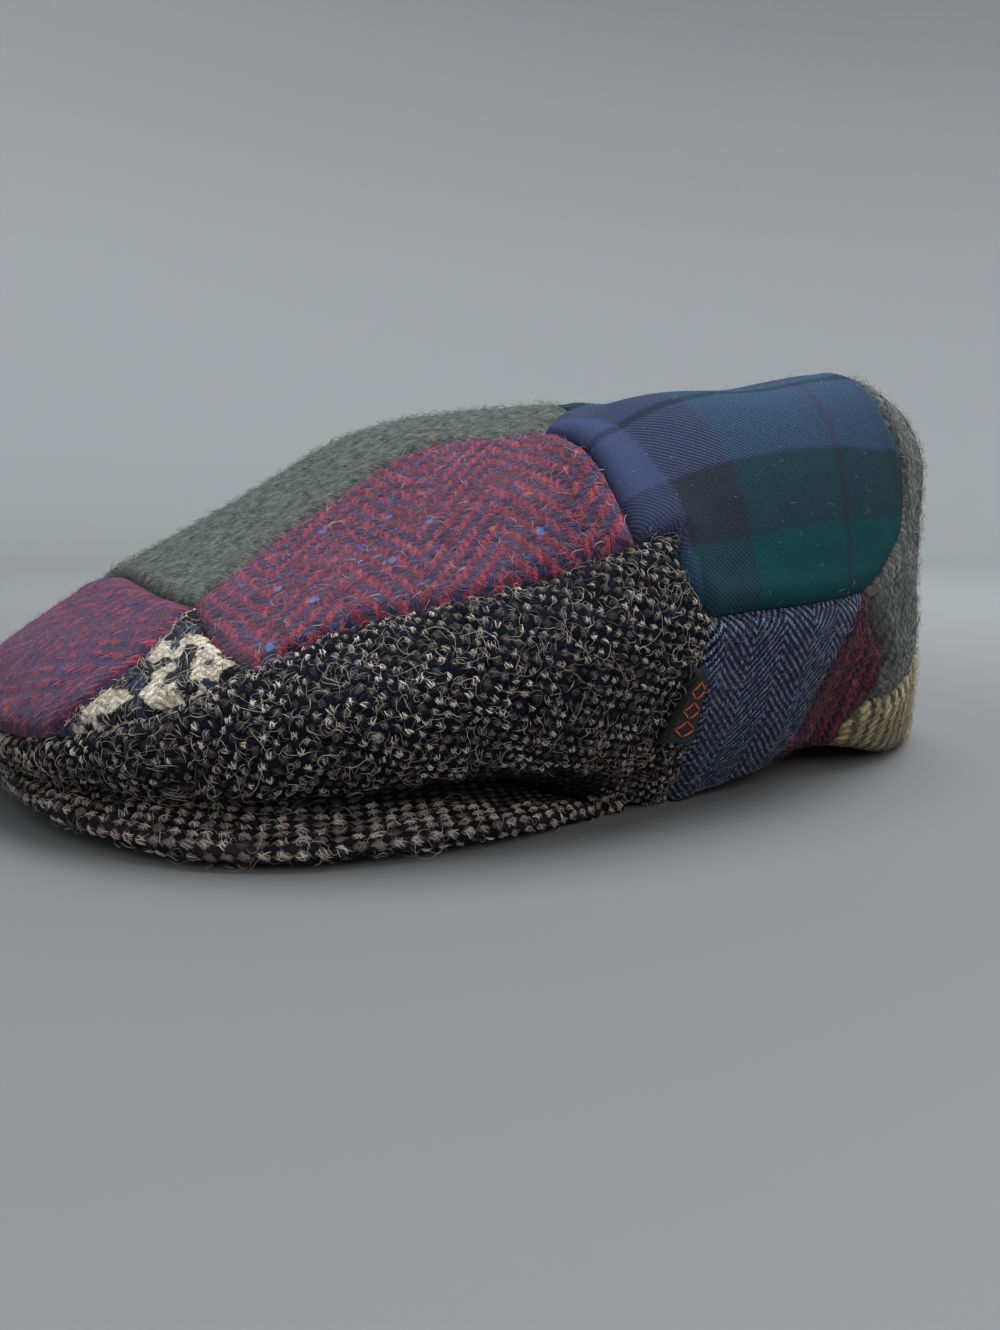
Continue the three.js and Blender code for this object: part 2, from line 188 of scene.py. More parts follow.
def floorPaint(look):
    material = bpy.data.materials.new("paleFloor")
    material.use_nodes = True
    tree = material.node_tree
    shader = tree.nodes["Principled BSDF"]
    shader.inputs["Roughness"].default_value = 0.9
    place = tree.nodes.new("ShaderNodeNewGeometry")
    away = tree.nodes.new("ShaderNodeVectorMath")
    away.operation = "LENGTH"
    tree.links.new(place.outputs["Position"], away.inputs[0])
    # painted shade: dark under the cap and the lamp, paler further out
    paler = spread(tree, away.outputs["Value"], *look["shadeFade"])
    plug(tree, shader.inputs["Base Color"], mixColour(tree, paler, look["floorColour"], look["wallColour"]))
    return material


def makeSky(look):
    world = bpy.data.worlds.new("softSky")
    bpy.context.scene.world = world
    world.use_nodes = True
    sky = world.node_tree.nodes["Background"]
    sky.inputs["Color"].default_value = look["worldColour"]
    sky.inputs["Strength"].default_value = look["worldStrength"]


def makeLight(look):
    light = bpy.data.lights.new(look["name"], "AREA")
    light.size = look["size"]
    light.energy = look["watts"]
    light.color = look["colour"]
    holder = bpy.data.objects.new(look["name"], light)
    holder.location = look["at"]
    holder.rotation_mode = "QUATERNION"
    holder.rotation_quaternion = (lightsAimAt - Vector(look["at"])).to_track_quat("-Z", "Y")
    bpy.context.scene.collection.objects.link(holder)


makeCamera(cameraLook)
makeRoom(roomLook)
makeSky(roomLook)
for lightLook in lightLooks:
    makeLight(lightLook)
bpy.context.scene.view_settings.view_transform = "Standard"
print("camera, floor and lights in place")

# the shape of the crown and the peak, in millimetres

# one row for each 20 degrees from the peak round to the back: radius and height of the shoulder,
# the widest fold, the tuck and the rim
crownRows = np.array([
    (72, 66, 128, 32, 132, 12, 81, 22.5),
    (74, 64, 130, 30, 130, 11, 85, 22.5),
    (79, 64, 127, 32, 124, 12, 89, 19),
    (82, 69, 115, 40, 110, 17, 85, 8),
    (85, 83, 105, 48, 98, 21, 80, 0),
    (90, 86, 101, 48, 92, 19, 81, 4),
    (93, 91, 102, 46, 94, 12, 82, 6),
    (101, 85, 106, 45, 104, 4, 90, 2),
    (102, 91, 112, 46, 114, 2, 100, 0),
    (103, 93, 116, 48, 117, 2, 105, 0),
], float)
crownLook = {
    "topHeight": 89,
    "headCentreY": 9.43,
    "midReach": 0.55,
    "midDrop": 0.24,
    "wall": 2.0,
    "restGap": 0.5,
}
rimLevel = 5
# bearing, level, how wide each way, depth
crownHollows = [(115, 3.9, 8, 0.8, 5), (62, 1.3, 30, 0.5, 1.5)]

peakSpan = 76
peakRows = np.array([(51, 8.5), (50, 7), (43, 4.5), (24, 5.5), (4, 3.5)], float)  # reach, edge height

# every seam on the wearer's left: steps, then its route as bearing and level
seams = {
    "frontTop": (5, [(0, 2.52), (12, 2.53), (24, 2.56)]),
    "frontSide": (5, [(24, 2.56), (25, 2.73), (25, 2.88), (22, 3.17), (20, 3.37)]),
    "frontBottom": (5, [(0, 3.5), (12, 3.46), (20, 3.37)]),
    "gussetTop": (5, [(24, 2.56), (31, 2.71), (38, 2.87)]),
    "gussetTail": (5, [(31, 3.12), (34, 2.99), (38, 2.87)]),
    "gussetBottom": (5, [(20, 3.37), (26, 3.24), (31, 3.12)]),
    "topSide": (10, [(24, 2.56), (25, 2.2), (29, 1.8), (35, 1.48), (47, 1.24), (66, 1.42)]),
    "topAcross": (5, [(88, 0), (84, 0.5), (77, 0.95), (70, 1.2), (66, 1.42)]),
    "topBack": (5, [(66, 1.42), (70, 2.07), (73, 2.67)]),
    "sideTop": (10, [(38, 2.87), (45, 2.7), (59, 2.68), (73, 2.67)]),
    "sideCorner": (1, [(73, 2.67), (78, 2.68)]),
    "sideStep": (3, [(78, 2.68), (78.5, 2.93), (81.5, 3.2)]),
    "sideSeam": (10, [(81.5, 3.2), (80.5, 3.6), (82, 4.1), (85, rimLevel)]),
    "rearTop": (6, [(81.5, 3.2), (96, 3.15), (112, 3.05)]),
    "rearBack": (10, [(112, 3.05), (110, 3.28), (107, 3.6), (107, 4), (108, 4.4), (109, rimLevel)]),
    "tuckBack": (5, [(112, 3.05), (117, 3.23), (121, 3.35), (124, 3.52)]),
    "tuckEnd": (2, [(124, 3.52), (124, 3.62), (123, 3.74)]),
    "lowerFront": (8, [(123, 3.74), (121, 4), (122, 4.35), (124, rimLevel)]),
    "lowerTop": (14, [(123, 3.74), (128, 3.67), (134, 3.55), (139, 3.42), (158, 3.3), (180, 3.25)]),
    "backSide": (7, [(112, 3.05), (118, 2.9), (123, 2.73), (124, 2.46), (121, 2.2), (120, 1.85)]),
    "backTop": (7, [(120, 1.85), (127, 1.7), (150, 1.6), (180, 1.6)]),
    "frontCentre": (13, [(0, 3.5), (0, rimLevel)]),
    "backCentre": (7, [(180, 1.6), (180, 3.25)]),
    "lowerCentre": (8, [(180, 3.25), (180, rimLevel)]),
    "sideRim": (26, [(0, rimLevel), (85, rimLevel)]),
    "rearRim": (6, [(85, rimLevel), (109, rimLevel)]),
    "tuckRim": (5, [(109, rimLevel), (124, rimLevel)]),
    "lowerRim": (14, [(124, rimLevel), (180, rimLevel)]),
    "tabTop": (3, [(79, 3.52), (81, 3.52)]),
    "tabBottom": (3, [(76.5, 4.1), (81.8, 4.17)]),
    "tabFront": (6, [(79, 3.52), (76.5, 4.1)]),
    "tabBack": (6, [(81, 3.52), (81.8, 4.17)]),
}


def smooth(a, b, c, d, t):
    # a curve from b to c, whose ends point along a to c and b to d
    bend = (2 * a - 5 * b + 4 * c - d) * t ** 2
    twist = (3 * b - a - 3 * c + d) * t ** 3
    return 0.5 * (2 * b + (c - a) * t + bend + twist)


def readRows(rows, place):
    # a smooth curve through evenly spaced rows, mirrored past both ends
    last = len(rows) - 1
    first = np.clip(np.floor(place).astype(int), 0, last - 1)
    t = (place - first)[..., None]
    at = [rows[last - np.abs(last - np.abs(first + k))] for k in (-1, 0, 1, 2)]
    return smooth(*at, t)


def awayFromPeak(bearing):
    return np.abs((bearing + 180) % 360 - 180)


def peakTop(bearing, radius):
    away = awayFromPeak(bearing)
    edge = readRows(peakRows, np.clip(away / peakSpan, 0, 1) * (len(peakRows) - 1))
    rim = readRows(crownRows, away / 20)[..., 6:]
    out = np.clip((radius - rim[..., 0]) / edge[..., 0], 0, 1)
    return (rim[..., 1] - crownLook["restGap"]) * (1 - out) + edge[..., 1] * out


def placeAt(bearing, radius, height):
    turn = np.radians(bearing)
    y = crownLook["headCentreY"] - radius * np.cos(turn)
    return np.stack([radius * np.sin(turn), y, height], -1)


def crownPoints(bearing, level):
    row = readRows(crownRows, awayFromPeak(bearing) / 20)
    radii, heights = row[..., 0::2], row[..., 1::2]
    top = np.full(level.shape, float(crownLook["topHeight"]))
    midRadius = crownLook["midReach"] * radii[..., 0]
    midHeight = top + (heights[..., 0] - top) * crownLook["midDrop"]
    ladderRadii = [-midRadius, 0 * top, midRadius, *np.moveaxis(radii, -1, 0)]
    ladderHeights = [midHeight, top, midHeight, *np.moveaxis(heights, -1, 0)]
    ladderRadii.append(2 * radii[..., 3] - radii[..., 2])
    ladderHeights.append(2 * heights[..., 3] - heights[..., 2])
    ladder = np.stack([np.stack(ladderRadii), np.stack(ladderHeights)], -1)
    step = np.clip(np.floor(level).astype(int), 0, rimLevel - 1)
    at = [np.take_along_axis(ladder, (step + k)[None, ..., None], 0)[0] for k in range(4)]
    spot = smooth(*at, (level - step)[..., None])
    depth = 0
    for hollowBearing, hollowLevel, wide, tall, deep in crownHollows:
        across = (awayFromPeak(bearing) - hollowBearing) / wide
        down = (level - hollowLevel) / tall
        depth = depth + deep * np.exp(-across ** 2 - down ** 2)
    sideways = np.clip((level - 1.2) / 1.5, 0, 1)
    radius = spot[..., 0] - depth * sideways
    height = spot[..., 1] - depth * (1 - sideways)
    onPeak = awayFromPeak(bearing) <= peakSpan
    height = np.where(onPeak, np.maximum(height, peakTop(bearing, radius) + crownLook["restGap"]), height)
    return placeAt(bearing, radius, np.maximum(height, 0))


def planPoints(plan):
    bearing = np.degrees(np.arctan2(plan[..., 0], -plan[..., 1]))
    return crownPoints(bearing, np.minimum(np.hypot(plan[..., 0], plan[..., 1]), rimLevel))


def planNormals(plan):
    step = 0.03
    far = np.hypot(plan[..., 0], plan[..., 1])[..., None]
    inside = plan * np.minimum(1, (rimLevel - step) / np.maximum(far, step))
    across = planPoints(inside + (step, 0)) - planPoints(inside - (step, 0))
    along = planPoints(inside + (0, step)) - planPoints(inside - (0, step))
    normal = np.cross(across, along)
    return normal / np.linalg.norm(normal, axis=-1, keepdims=True)


def spotsAlong(name, fineness, change):
    # even steps along a seam, on the crown unrolled flat
    steps, route = seams[name]
    route = np.array([change(*spot) for spot in route], float)
    last = len(route) - 1
    place = np.linspace(0, last, 40 * len(route) + 1)
    first = np.clip(place.astype(int), 0, last - 1)
    at = [route[np.clip(first + k, 0, last)] for k in (-1, 0, 1, 2)]
    fine = smooth(*at, (place - first)[:, None])
    turn = np.radians(fine[:, 0])
    fine = np.stack([fine[:, 1] * np.sin(turn), -fine[:, 1] * np.cos(turn)], -1)
    run = np.concatenate([[0], np.cumsum(np.linalg.norm(np.diff(fine, axis=0), axis=1))])
    goal = np.linspace(0, run[-1], steps * fineness + 1)
    return np.stack([np.interp(goal, run, fine[:, k]) for k in (0, 1)], -1)


def sideOf(names, fineness, change=lambda bearing, level: (bearing, level)):
    # a name with a minus is walked backwards
    spots = []
    for name in names.split():
        line = spotsAlong(name.strip("-"), fineness, change)
        line = line[::-1] if name.startswith("-") else line
        spots.extend(line if not spots else line[1:])
    return np.array(spots)


def backwards(names):
    return " ".join(name[1:] if name[0] == "-" else "-" + name for name in reversed(names.split()))


def acrossMiddle(names, fineness, roundTheBack=False):
    def otherHand(bearing, level):
        return (360 - bearing if roundTheBack else -bearing, level)
    other = sideOf(backwards(names), fineness, otherHand)
    return np.concatenate([other[:-1], sideOf(names, fineness)])


def fillBetween(sides):
    top, bottom, left, right = sides
    u = np.linspace(0, 1, len(top))[None, :, None]
    v = np.linspace(0, 1, len(left))[:, None, None]
    rows = top[None] * (1 - v) + bottom[None] * v
    columns = left[:, None] * (1 - u) + right[:, None] * u
    corners = (top[0] * (1 - u) + top[-1] * u) * (1 - v) + (bottom[0] * (1 - u) + bottom[-1] * u) * v
    return rows + columns - corners


def cutSides(cut, fineness, hand):
    if cut.get("acrossMiddle"):
        back = cut.get("roundTheBack", False)
        sides = [
            acrossMiddle(cut["top"], fineness, back),
            acrossMiddle(cut["bottom"], fineness),
            sideOf(cut["right"], fineness, lambda bearing, level: (-bearing, level)),
            sideOf(cut["right"], fineness),
        ]
    else:
        sides = [sideOf(cut[side], fineness) for side in ("top", "bottom", "left", "right")]
        if hand == "right":
            flip = [side * (-1, 1) for side in sides]
            sides = [flip[0][::-1], flip[1][::-1], flip[3], flip[2]]
    return sides


def latticeNoise(points, cell, seed):
    # smooth noise from -1 to 1, the same in every run
    table = np.random.default_rng(seed).uniform(-1, 1, (32, 32, 32))
    place = points / cell
    first = np.floor(place).astype(int)
    t = place - first
    t = t * t * (3 - 2 * t)
    total = 0
    for corner in np.ndindex(2, 2, 2):
        weight = np.prod(np.where(np.array(corner) == 1, t, 1 - t), axis=-1)
        i, j, k = np.moveaxis((first + corner) % 32, -1, 0)
        total = total + weight * table[i, j, k]
    return total


def edgeDistance(points, free):
    # millimetres from each point to the nearest sewn edge
    edges = [points[0], points[:, 0], points[:, -1]]
    if not free:
        edges.append(points[-1])
    edge = np.concatenate(edges)
    flat = points.reshape(-1, 3)
    near = np.empty(len(flat))
    for start in range(0, len(flat), 4000):
        gap = flat[start:start + 4000, None] - edge[None]
        near[start:start + 4000] = np.sqrt((gap ** 2).sum(-1).min(1))
    return near.reshape(points.shape[:2])


flatLook = {
    "levelSpan": 33,       # mm between two levels on top of the crown
    "sideRadius": 105,     # a piece on the side starts unrolled from a cylinder this wide
    "sideSpan": 36,        # mm between two levels there
    "sideFrom": 1.9,       # a side piece lies below this level
    "sideTo": 3.3,         # and reaches past this one
    "sideTurn": 3.2,       # and goes less than this far round, in radians
    "rounds": 700,
    "give": 0.12,          # how much of its error each spring takes up in a round
}


def flattened(points, start):
    # lays a curved piece out flat, as it was cut: springs between neighbours take their true length
    flat = start.copy()
    springs = []
    for down, along in [(0, 1), (1, 0), (1, 1), (1, -1)]:
        rowsA, rowsB = (slice(0, -1), slice(1, None)) if down else (slice(None), slice(None))
        ahead = (slice(0, -1), slice(1, None)) if along else (slice(None), slice(None))
        columnsA, columnsB = ahead[::-1] if along < 0 else ahead
        a, b = (rowsA, columnsA), (rowsB, columnsB)
        springs.append((a, b, np.linalg.norm(points[a] - points[b], axis=-1)))
    for _ in range(flatLook["rounds"]):
        move = np.zeros_like(flat)
        for a, b, length in springs:
            gap = flat[b] - flat[a]
            now = np.linalg.norm(gap, axis=-1)
            pull = gap * ((now - length) / np.maximum(now, 1e-6))[..., None] * flatLook["give"]
            move[a] += pull
            move[b] -= pull
        flat += move
    return flat


def refined(grid, fineness):
    # a coarse grid of values read at every fine step
    for axis in (0, 1):
        grid = np.moveaxis(grid, axis, 0)
        place = np.linspace(0, len(grid) - 1, (len(grid) - 1) * fineness + 1)
        first = np.clip(np.floor(place).astype(int), 0, len(grid) - 2)
        before = 2 * grid[0] - grid[1]
        after = 2 * grid[-1] - grid[-2]
        padded = np.concatenate([before[None], grid, after[None]])
        t = (place - first)[:, None, None]
        grid = smooth(*[padded[first + k] for k in (0, 1, 2, 3)], t)
        grid = np.moveaxis(grid, 0, axis)
    return grid


def layOut(points, plan, turn):
    # the flat pattern in millimetres, turned so that its grain lies at the asked angle
    bearing = np.arctan2(plan[..., 0], -plan[..., 1])
    level = np.hypot(plan[..., 0], plan[..., 1])
    start = plan * (flatLook["levelSpan"], -flatLook["levelSpan"])
    onSide = level.min() > flatLook["sideFrom"] and level.max() > flatLook["sideTo"]
    if onSide and np.ptp(bearing) < flatLook["sideTurn"]:
        start = np.stack([bearing * flatLook["sideRadius"], -level * flatLook["sideSpan"]], -1)
    flat = flattened(points, start)
    rows, columns = flat.shape[:2]
    along = flat[rows // 2, -1] - flat[rows // 2, 0]
    spin = math.atan2(along[1], along[0]) - math.radians(turn)
    c, s = math.cos(spin), math.sin(spin)
    return (flat - flat[rows // 2, columns // 2]) @ np.array([(c, -s), (s, c)])


floatDroop = 0.55   # how much lower a yarn lies at both ends of its float


def weaveHeight(pattern, weave):
    # how high each yarn stands, from 0 in the gaps to 1 on the crossings
    across, down = pattern[..., 0] / weave["warpPitch"], pattern[..., 1] / weave["weftPitch"]
    i, j = np.floor(across), np.floor(down)
    x, y = 2 * (across - i) - 1, 2 * (down - j) - 1
    long = weave["warpFloat"]
    if weave["kind"] == "plain":
        over = (i + j) % 2 < 1
        alongWarp, alongWeft = y, x
    else:
        band = weave.get("band", 1)
        stepped = np.abs((i - band) % (2 * band) - band) if weave["kind"] == "herringbone" else i
        travel = (stepped + j) % 4 + down - j
        over = travel < long
        alongWarp, alongWeft = travel * 2 / long - 1, (travel - long) * 2 / (4 - long) - 1
    warp = (1 - x ** 2) * (1 - floatDroop * alongWarp ** 2)
    weft = weave["weftRise"] * (1 - y ** 2) * (1 - floatDroop * alongWeft ** 2)
    return np.where(over, warp, weft)


def wallMesh(name, outer, inner, pattern, coarse):
    # the fine outside, the plain inside in larger faces, and the cut edge between them
    rows, columns = outer.shape[:2]
    index = np.arange(rows * columns).reshape(rows, columns)
    quads = np.stack([index[:-1, :-1], index[1:, :-1], index[1:, 1:], index[:-1, 1:]], -1).reshape(-1, 4)
    ring = np.concatenate([index[0, :-1], index[:-1, -1], index[-1, :0:-1], index[:0:-1, 0]])
    innerKeep = np.full((rows, columns), -1)
    inside = np.zeros((rows, columns), bool)
    inside[::coarse, ::coarse] = True
    inside[0], inside[-1], inside[:, 0], inside[:, -1] = True, True, True, True
    innerKeep[inside] = rows * columns + np.arange(inside.sum())
    points = np.concatenate([outer.reshape(-1, 3), inner[inside]])
    faces = [tuple(face) for face in quads.tolist()]
    around = innerKeep.ravel()[ring]
    nextRing, nextAround = np.roll(ring, -1), np.roll(around, -1)
    faces += [tuple(face) for face in np.stack([ring, nextRing, nextAround, around], -1).tolist()]
    for j in range(0, rows - 1, coarse):
        for i in range(0, columns - 1, coarse):
            low, right = j + coarse, i + coarse
            topLine = innerKeep[j, i:right + 1] if j == 0 else innerKeep[j, [i, right]]
            bottomLine = innerKeep[low, i:right + 1] if low == rows - 1 else innerKeep[low, [i, right]]
            leftLine = innerKeep[j:low + 1, i] if i == 0 else innerKeep[[j, low], i]
            rightLine = innerKeep[j:low + 1, right] if right == columns - 1 else innerKeep[[j, low], right]
            loop = [*topLine, *rightLine[1:], *bottomLine[::-1][1:], *leftLine[::-1][1:-1]]
            faces.append(tuple(int(k) for k in loop))
    return meshFrom(name, points, faces, np.concatenate([pattern.reshape(-1, 2), pattern[inside]]))


def meshFrom(name, points, faces, pattern=None):
    mesh = bpy.data.meshes.new(name)
    mesh.from_pydata((points / 1000).tolist(), [], faces)
    mesh.polygons.foreach_set("use_smooth", np.ones(len(mesh.polygons), bool))
    if pattern is not None:
        corner = np.zeros(len(mesh.loops), np.int32)
        mesh.loops.foreach_get("vertex_index", corner)
        uvs = pattern[corner].astype(np.float32).ravel()
        mesh.uv_layers.new(name="clothPattern").data.foreach_set("uv", uvs)
    mesh.validate()
    piece = bpy.data.objects.new(name, mesh)
    bpy.context.scene.collection.objects.link(piece)
    return piece


clothShape = {
    "seamClear": 0.05,    # between two neighbouring edges
    "seamDip": 1.15,      # how deep an edge rolls into its seam
    "seamRoll": 2.3,      # over what width
    "rollSharpness": 1.6,
    "seamPuff": 0.45,     # the seam allowance underneath lifts the cloth beside it
    "puffAt": 4.2,        # this far from the edge
    "puffWidth": 2.6,
    "wrinkle": 0.55,
    "wrinkleSize": 27,
    "wrinkleEdge": 9,     # wrinkles fade out this near an edge
    "pucker": 0.14,
    "puckerSize": 5.5,
    "driftSize": 6.0,     # over what length the yarns wander
    "rimGap": 0.3,        # the inside of the rim stays this far off the floor
    "overhang": -0.8,     # no fibres where the cloth faces further down than this
}
noiseSeeds = {"drift": 40, "wrinkle": 3, "pucker": 8, "lumps": 17, "tab": 5}

# the cut of each piece; the wearer's right has the same pieces mirrored
pieceCuts = {
    "front_panel": {"acrossMiddle": True, "top": "frontTop", "bottom": "frontBottom", "right": "frontSide"},
    "top_front": {"acrossMiddle": True, "top": "topAcross", "bottom": "frontTop", "right": "-topSide"},
    "top_rear": {
        "acrossMiddle": True,
        "roundTheBack": True,
        "top": "-backTop -backSide",
        "bottom": "topAcross topBack sideCorner sideStep",
        "right": "-rearTop",
    },
    "gusset": {"top": "gussetTop", "bottom": "gussetBottom", "left": "frontSide", "right": "-gussetTail"},
    "top": {"top": "topSide", "bottom": "sideTop", "left": "gussetTop", "right": "topBack"},
    "side_front": {
        "free": True,
        "top": "frontBottom gussetBottom gussetTail sideTop sideCorner",
        "bottom": "sideRim",
        "left": "frontCentre",
        "right": "sideStep sideSeam",
    },
    "side_rear": {
        "free": True,
        "top": "rearTop",
        "bottom": "rearRim",
        "left": "sideSeam",
        "right": "rearBack",
    },
    "back_gusset": {
        "free": True,
        "top": "tuckBack",
        "bottom": "tuckRim",
        "left": "rearBack",
        "right": "tuckEnd lowerFront",
    },
    "back": {
        "top": "backSide backTop",
        "bottom": "lowerTop",
        "left": "tuckBack tuckEnd",
        "right": "backCentre",
    },
    "back_lower": {
        "free": True,
        "top": "lowerTop",
        "bottom": "lowerRim",
        "left": "lowerFront",
        "right": "lowerCentre",
    },
}


def dressNode(piece, node, look):
    # the finished piece takes the place of the node's plain solid
    piece.data.materials.append(clothMaterial(look["weave"]))
    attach(piece, "root")
    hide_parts(node)


def drawnIn(points, free):
    # leaves the seam's clearance along each sewn edge
    drawn = points.copy()
    clear = clothShape["seamClear"]

    def draw(edge, inner, line):
        along = np.gradient(line, axis=0)
        along /= np.linalg.norm(along, axis=-1, keepdims=True)
        inwards = inner - line
        inwards -= along * (inwards * along).sum(-1, keepdims=True)
        drawn[edge] += clear * inwards / np.maximum(np.linalg.norm(inwards, axis=-1, keepdims=True), 1e-9)
    draw((0, slice(None)), points[1], points[0])
    if not free:
        draw((-1, slice(None)), points[-2], points[-1])
    draw((slice(None), 0), points[:, 1], points[:, 0])
    draw((slice(None), -1), points[:, -2], points[:, -1])
    return drawn


def slipped(flat, amount):
    # the yarns wander a little
    size, seed = clothShape["driftSize"], noiseSeeds["drift"]
    drift = [latticeNoise(np.dstack([flat, np.full(flat.shape[:2], k)]), size, seed) for k in (0, 9)]
    return flat + amount * np.stack(drift, -1)


def clothPiece(node, look):
    hand, _, part = node.partition("_")
    cut = pieceCuts[part if hand in ("left", "right") else node]
    weave = look["weave"]
    fineness = look["fineness"]
    free = cut.get("free", False)
    coarsePlan = fillBetween(cutSides(cut, 1, hand))
    flat = refined(layOut(planPoints(coarsePlan), coarsePlan, look["grain"]), fineness)
    plan = fillBetween(cutSides(cut, fineness, hand))
    points = drawnIn(planPoints(plan), free)
    normals = planNormals(plan)
    pattern = slipped(flat, weave["wobble"])
    near = edgeDistance(points, free)
    shape = clothShape
    roll = np.clip(1 - near / shape["seamRoll"], 0, 1) ** shape["rollSharpness"]
    lift = -shape["seamDip"] * roll
    lift += shape["seamPuff"] * np.exp(-((near - shape["puffAt"]) / shape["puffWidth"]) ** 2)
    wrinkles = latticeNoise(points, shape["wrinkleSize"], noiseSeeds["wrinkle"])
    lift += shape["wrinkle"] * wrinkles * np.clip(near / shape["wrinkleEdge"], 0.2, 1)
    lift += shape["pucker"] * latticeNoise(points, shape["puckerSize"], noiseSeeds["pucker"])
    surface = points + lift[..., None] * normals
    surface[..., 2] = np.maximum(surface[..., 2], 0)
    lumps = weave["lumps"] * latticeNoise(points, weave["lumpSize"], noiseSeeds["lumps"])
    lumps += weave["relief"] * (weaveHeight(pattern, weave) - 0.4)
    outer = surface + lumps[..., None] * normals
    outer[..., 2] = np.maximum(outer[..., 2], 0)
    inner = points - crownLook["wall"] * normals
    aboveRim = shape["rimGap"] * np.arange(len(plan))[::-1, None].clip(0, 1) if free else 0
    inner[..., 2] = np.maximum(inner[..., 2], aboveRim)
    dressNode(wallMesh(node + "_cloth", outer, inner, pattern, fineness), node, look)
    return {
        "surface": outer,
        "normals": normals,
        "flat": flat,
        "pattern": pattern,
        "open": normals[..., 2] > shape["overhang"],
        "look": look,
    }


def peakPiece(look):
    fineness = look["fineness"]
    weave = look["weave"]
    thick = look["thickness"]
    columns = 26 * fineness + 1
    share = np.linspace(-1, 1, columns)
    bearing = share * peakSpan
    rim = readRows(crownRows, awayFromPeak(bearing) / 20)[:, 6]
    reach = readRows(peakRows, np.abs(share) * (len(peakRows) - 1))[:, 0]
    nose = np.minimum(thick / 2, reach * 0.4)
    # rows run out over the top, round the edge and back underneath
    hiddenRows, bandRows, noseRows = fineness, 3 * fineness, fineness
    outTo = [*np.linspace(0, 0.5, hiddenRows, endpoint=False), *np.linspace(0.5, 1, bandRows, endpoint=False)]
    lines = []
    for out in outTo:
        radius = rim + (reach - nose) * out
        lines.append(placeAt(bearing, radius, peakTop(bearing, radius)))
    edgeTop = peakTop(bearing, rim + reach - nose)
    for k in range(noseRows + 1):
        turn = math.pi * k / noseRows
        radius = rim + reach - nose + nose * math.sin(turn)
        middle = np.maximum(edgeTop - thick / 2, thick / 2)
        lines.append(placeAt(bearing, radius, middle + thick / 2 * math.cos(turn)))
    for out in np.linspace(1, 0, 2 * fineness + 1)[1:]:
        radius = rim + (reach - nose) * out
        lines.append(placeAt(bearing, radius, np.maximum(peakTop(bearing, radius) - thick, 0)))
    points = np.array(lines)
    normals = np.cross(np.gradient(points, axis=0), np.gradient(points, axis=1))
    normals /= np.maximum(np.linalg.norm(normals, axis=-1, keepdims=True), 1e-9)
    run = np.cumsum(np.linalg.norm(np.diff(points, axis=0, prepend=points[:1]), axis=-1), axis=0)
    arc = np.radians(bearing) * look["arcRadius"]
    flat = np.stack([np.broadcast_to(arc, run.shape), -run + reach[None]], -1)
    turn = math.radians(look["grain"])
    flat = flat @ np.array([(math.cos(turn), math.sin(turn)), (-math.sin(turn), math.cos(turn))])
    pattern = slipped(flat, weave["wobble"])
    lift = weave["relief"] * (weaveHeight(pattern, weave) - 0.5)
    lumps = weave["lumps"] * latticeNoise(points, weave["lumpSize"], noiseSeeds["lumps"])
    lift += lumps + look["pucker"] * latticeNoise(points, look["puckerSize"], noiseSeeds["pucker"])
    outer = points + lift[..., None] * normals
    outer[..., 2] = np.maximum(outer[..., 2], 0)
    rows = len(points)
    index = np.arange(rows * columns).reshape(rows, columns)
    below = np.roll(index, -1, axis=0)
    quads = np.stack([index[:, :-1], below[:, :-1], below[:, 1:], index[:, 1:]], -1).reshape(-1, 4)
    faces = [tuple(face) for face in quads.tolist()]
    faces.append(tuple(index[::-1, 0].tolist()))
    faces.append(tuple(index[:, -1].tolist()))
    dressNode(meshFrom("peak_cloth", outer.reshape(-1, 3), faces, pattern.reshape(-1, 2)), "peak", look)
    # no fibres on the hidden rows or on the part of the band nearest the crown: the bare darker weave there
    # is painted shade in the crease
    shown = np.zeros((rows, columns), bool)
    shown[hiddenRows + int(look["tuckedShade"] * bandRows):hiddenRows + bandRows + noseRows] = True
    return {
        "surface": outer,
        "normals": normals,
        "flat": flat,
        "pattern": pattern,
        "open": shown,
        "look": look,
    }


# woven and napped cloth

fibreStretch = 3.4   # how many times longer than wide the streaks in a yarn are
fibreScale = 1.6


def frayed(tree, vector, size, amount):
    # loose fibres blur where one yarn ends and the next begins
    node = tree.nodes.new("ShaderNodeVectorMath")
    node.operation = "MULTIPLY_ADD"
    tree.links.new(noiseAt(tree, vector, 1 / size, 3, 0.65, "Color"), node.inputs[0])
    node.inputs[1].default_value = (2 * amount, 2 * amount, 0)
    node.inputs[2].default_value = (-amount, -amount, 0)
    return moved(tree, vector, node.outputs[0])


def bandColour(tree, place, repeat, bands):
    # stripes: each band is where it starts in the repeat, in millimetres, and its colour
    node = tree.nodes.new("ShaderNodeValToRGB")
    ramp = node.color_ramp.elements
    ramp.remove(ramp[1])
    ramp[0].position = 0
    ramp[0].color = (*bands[0][1], 1)
    for before, (start, colour) in zip(bands, bands[1:]):
        ramp.new((start - 0.7) / repeat).color = (*before[1], 1)
        ramp.new(start / repeat).color = (*colour, 1)
    tree.links.new(calc(tree, "FRACT", calc(tree, "DIVIDE", place, repeat)), node.inputs["Fac"])
    return node.outputs["Color"]


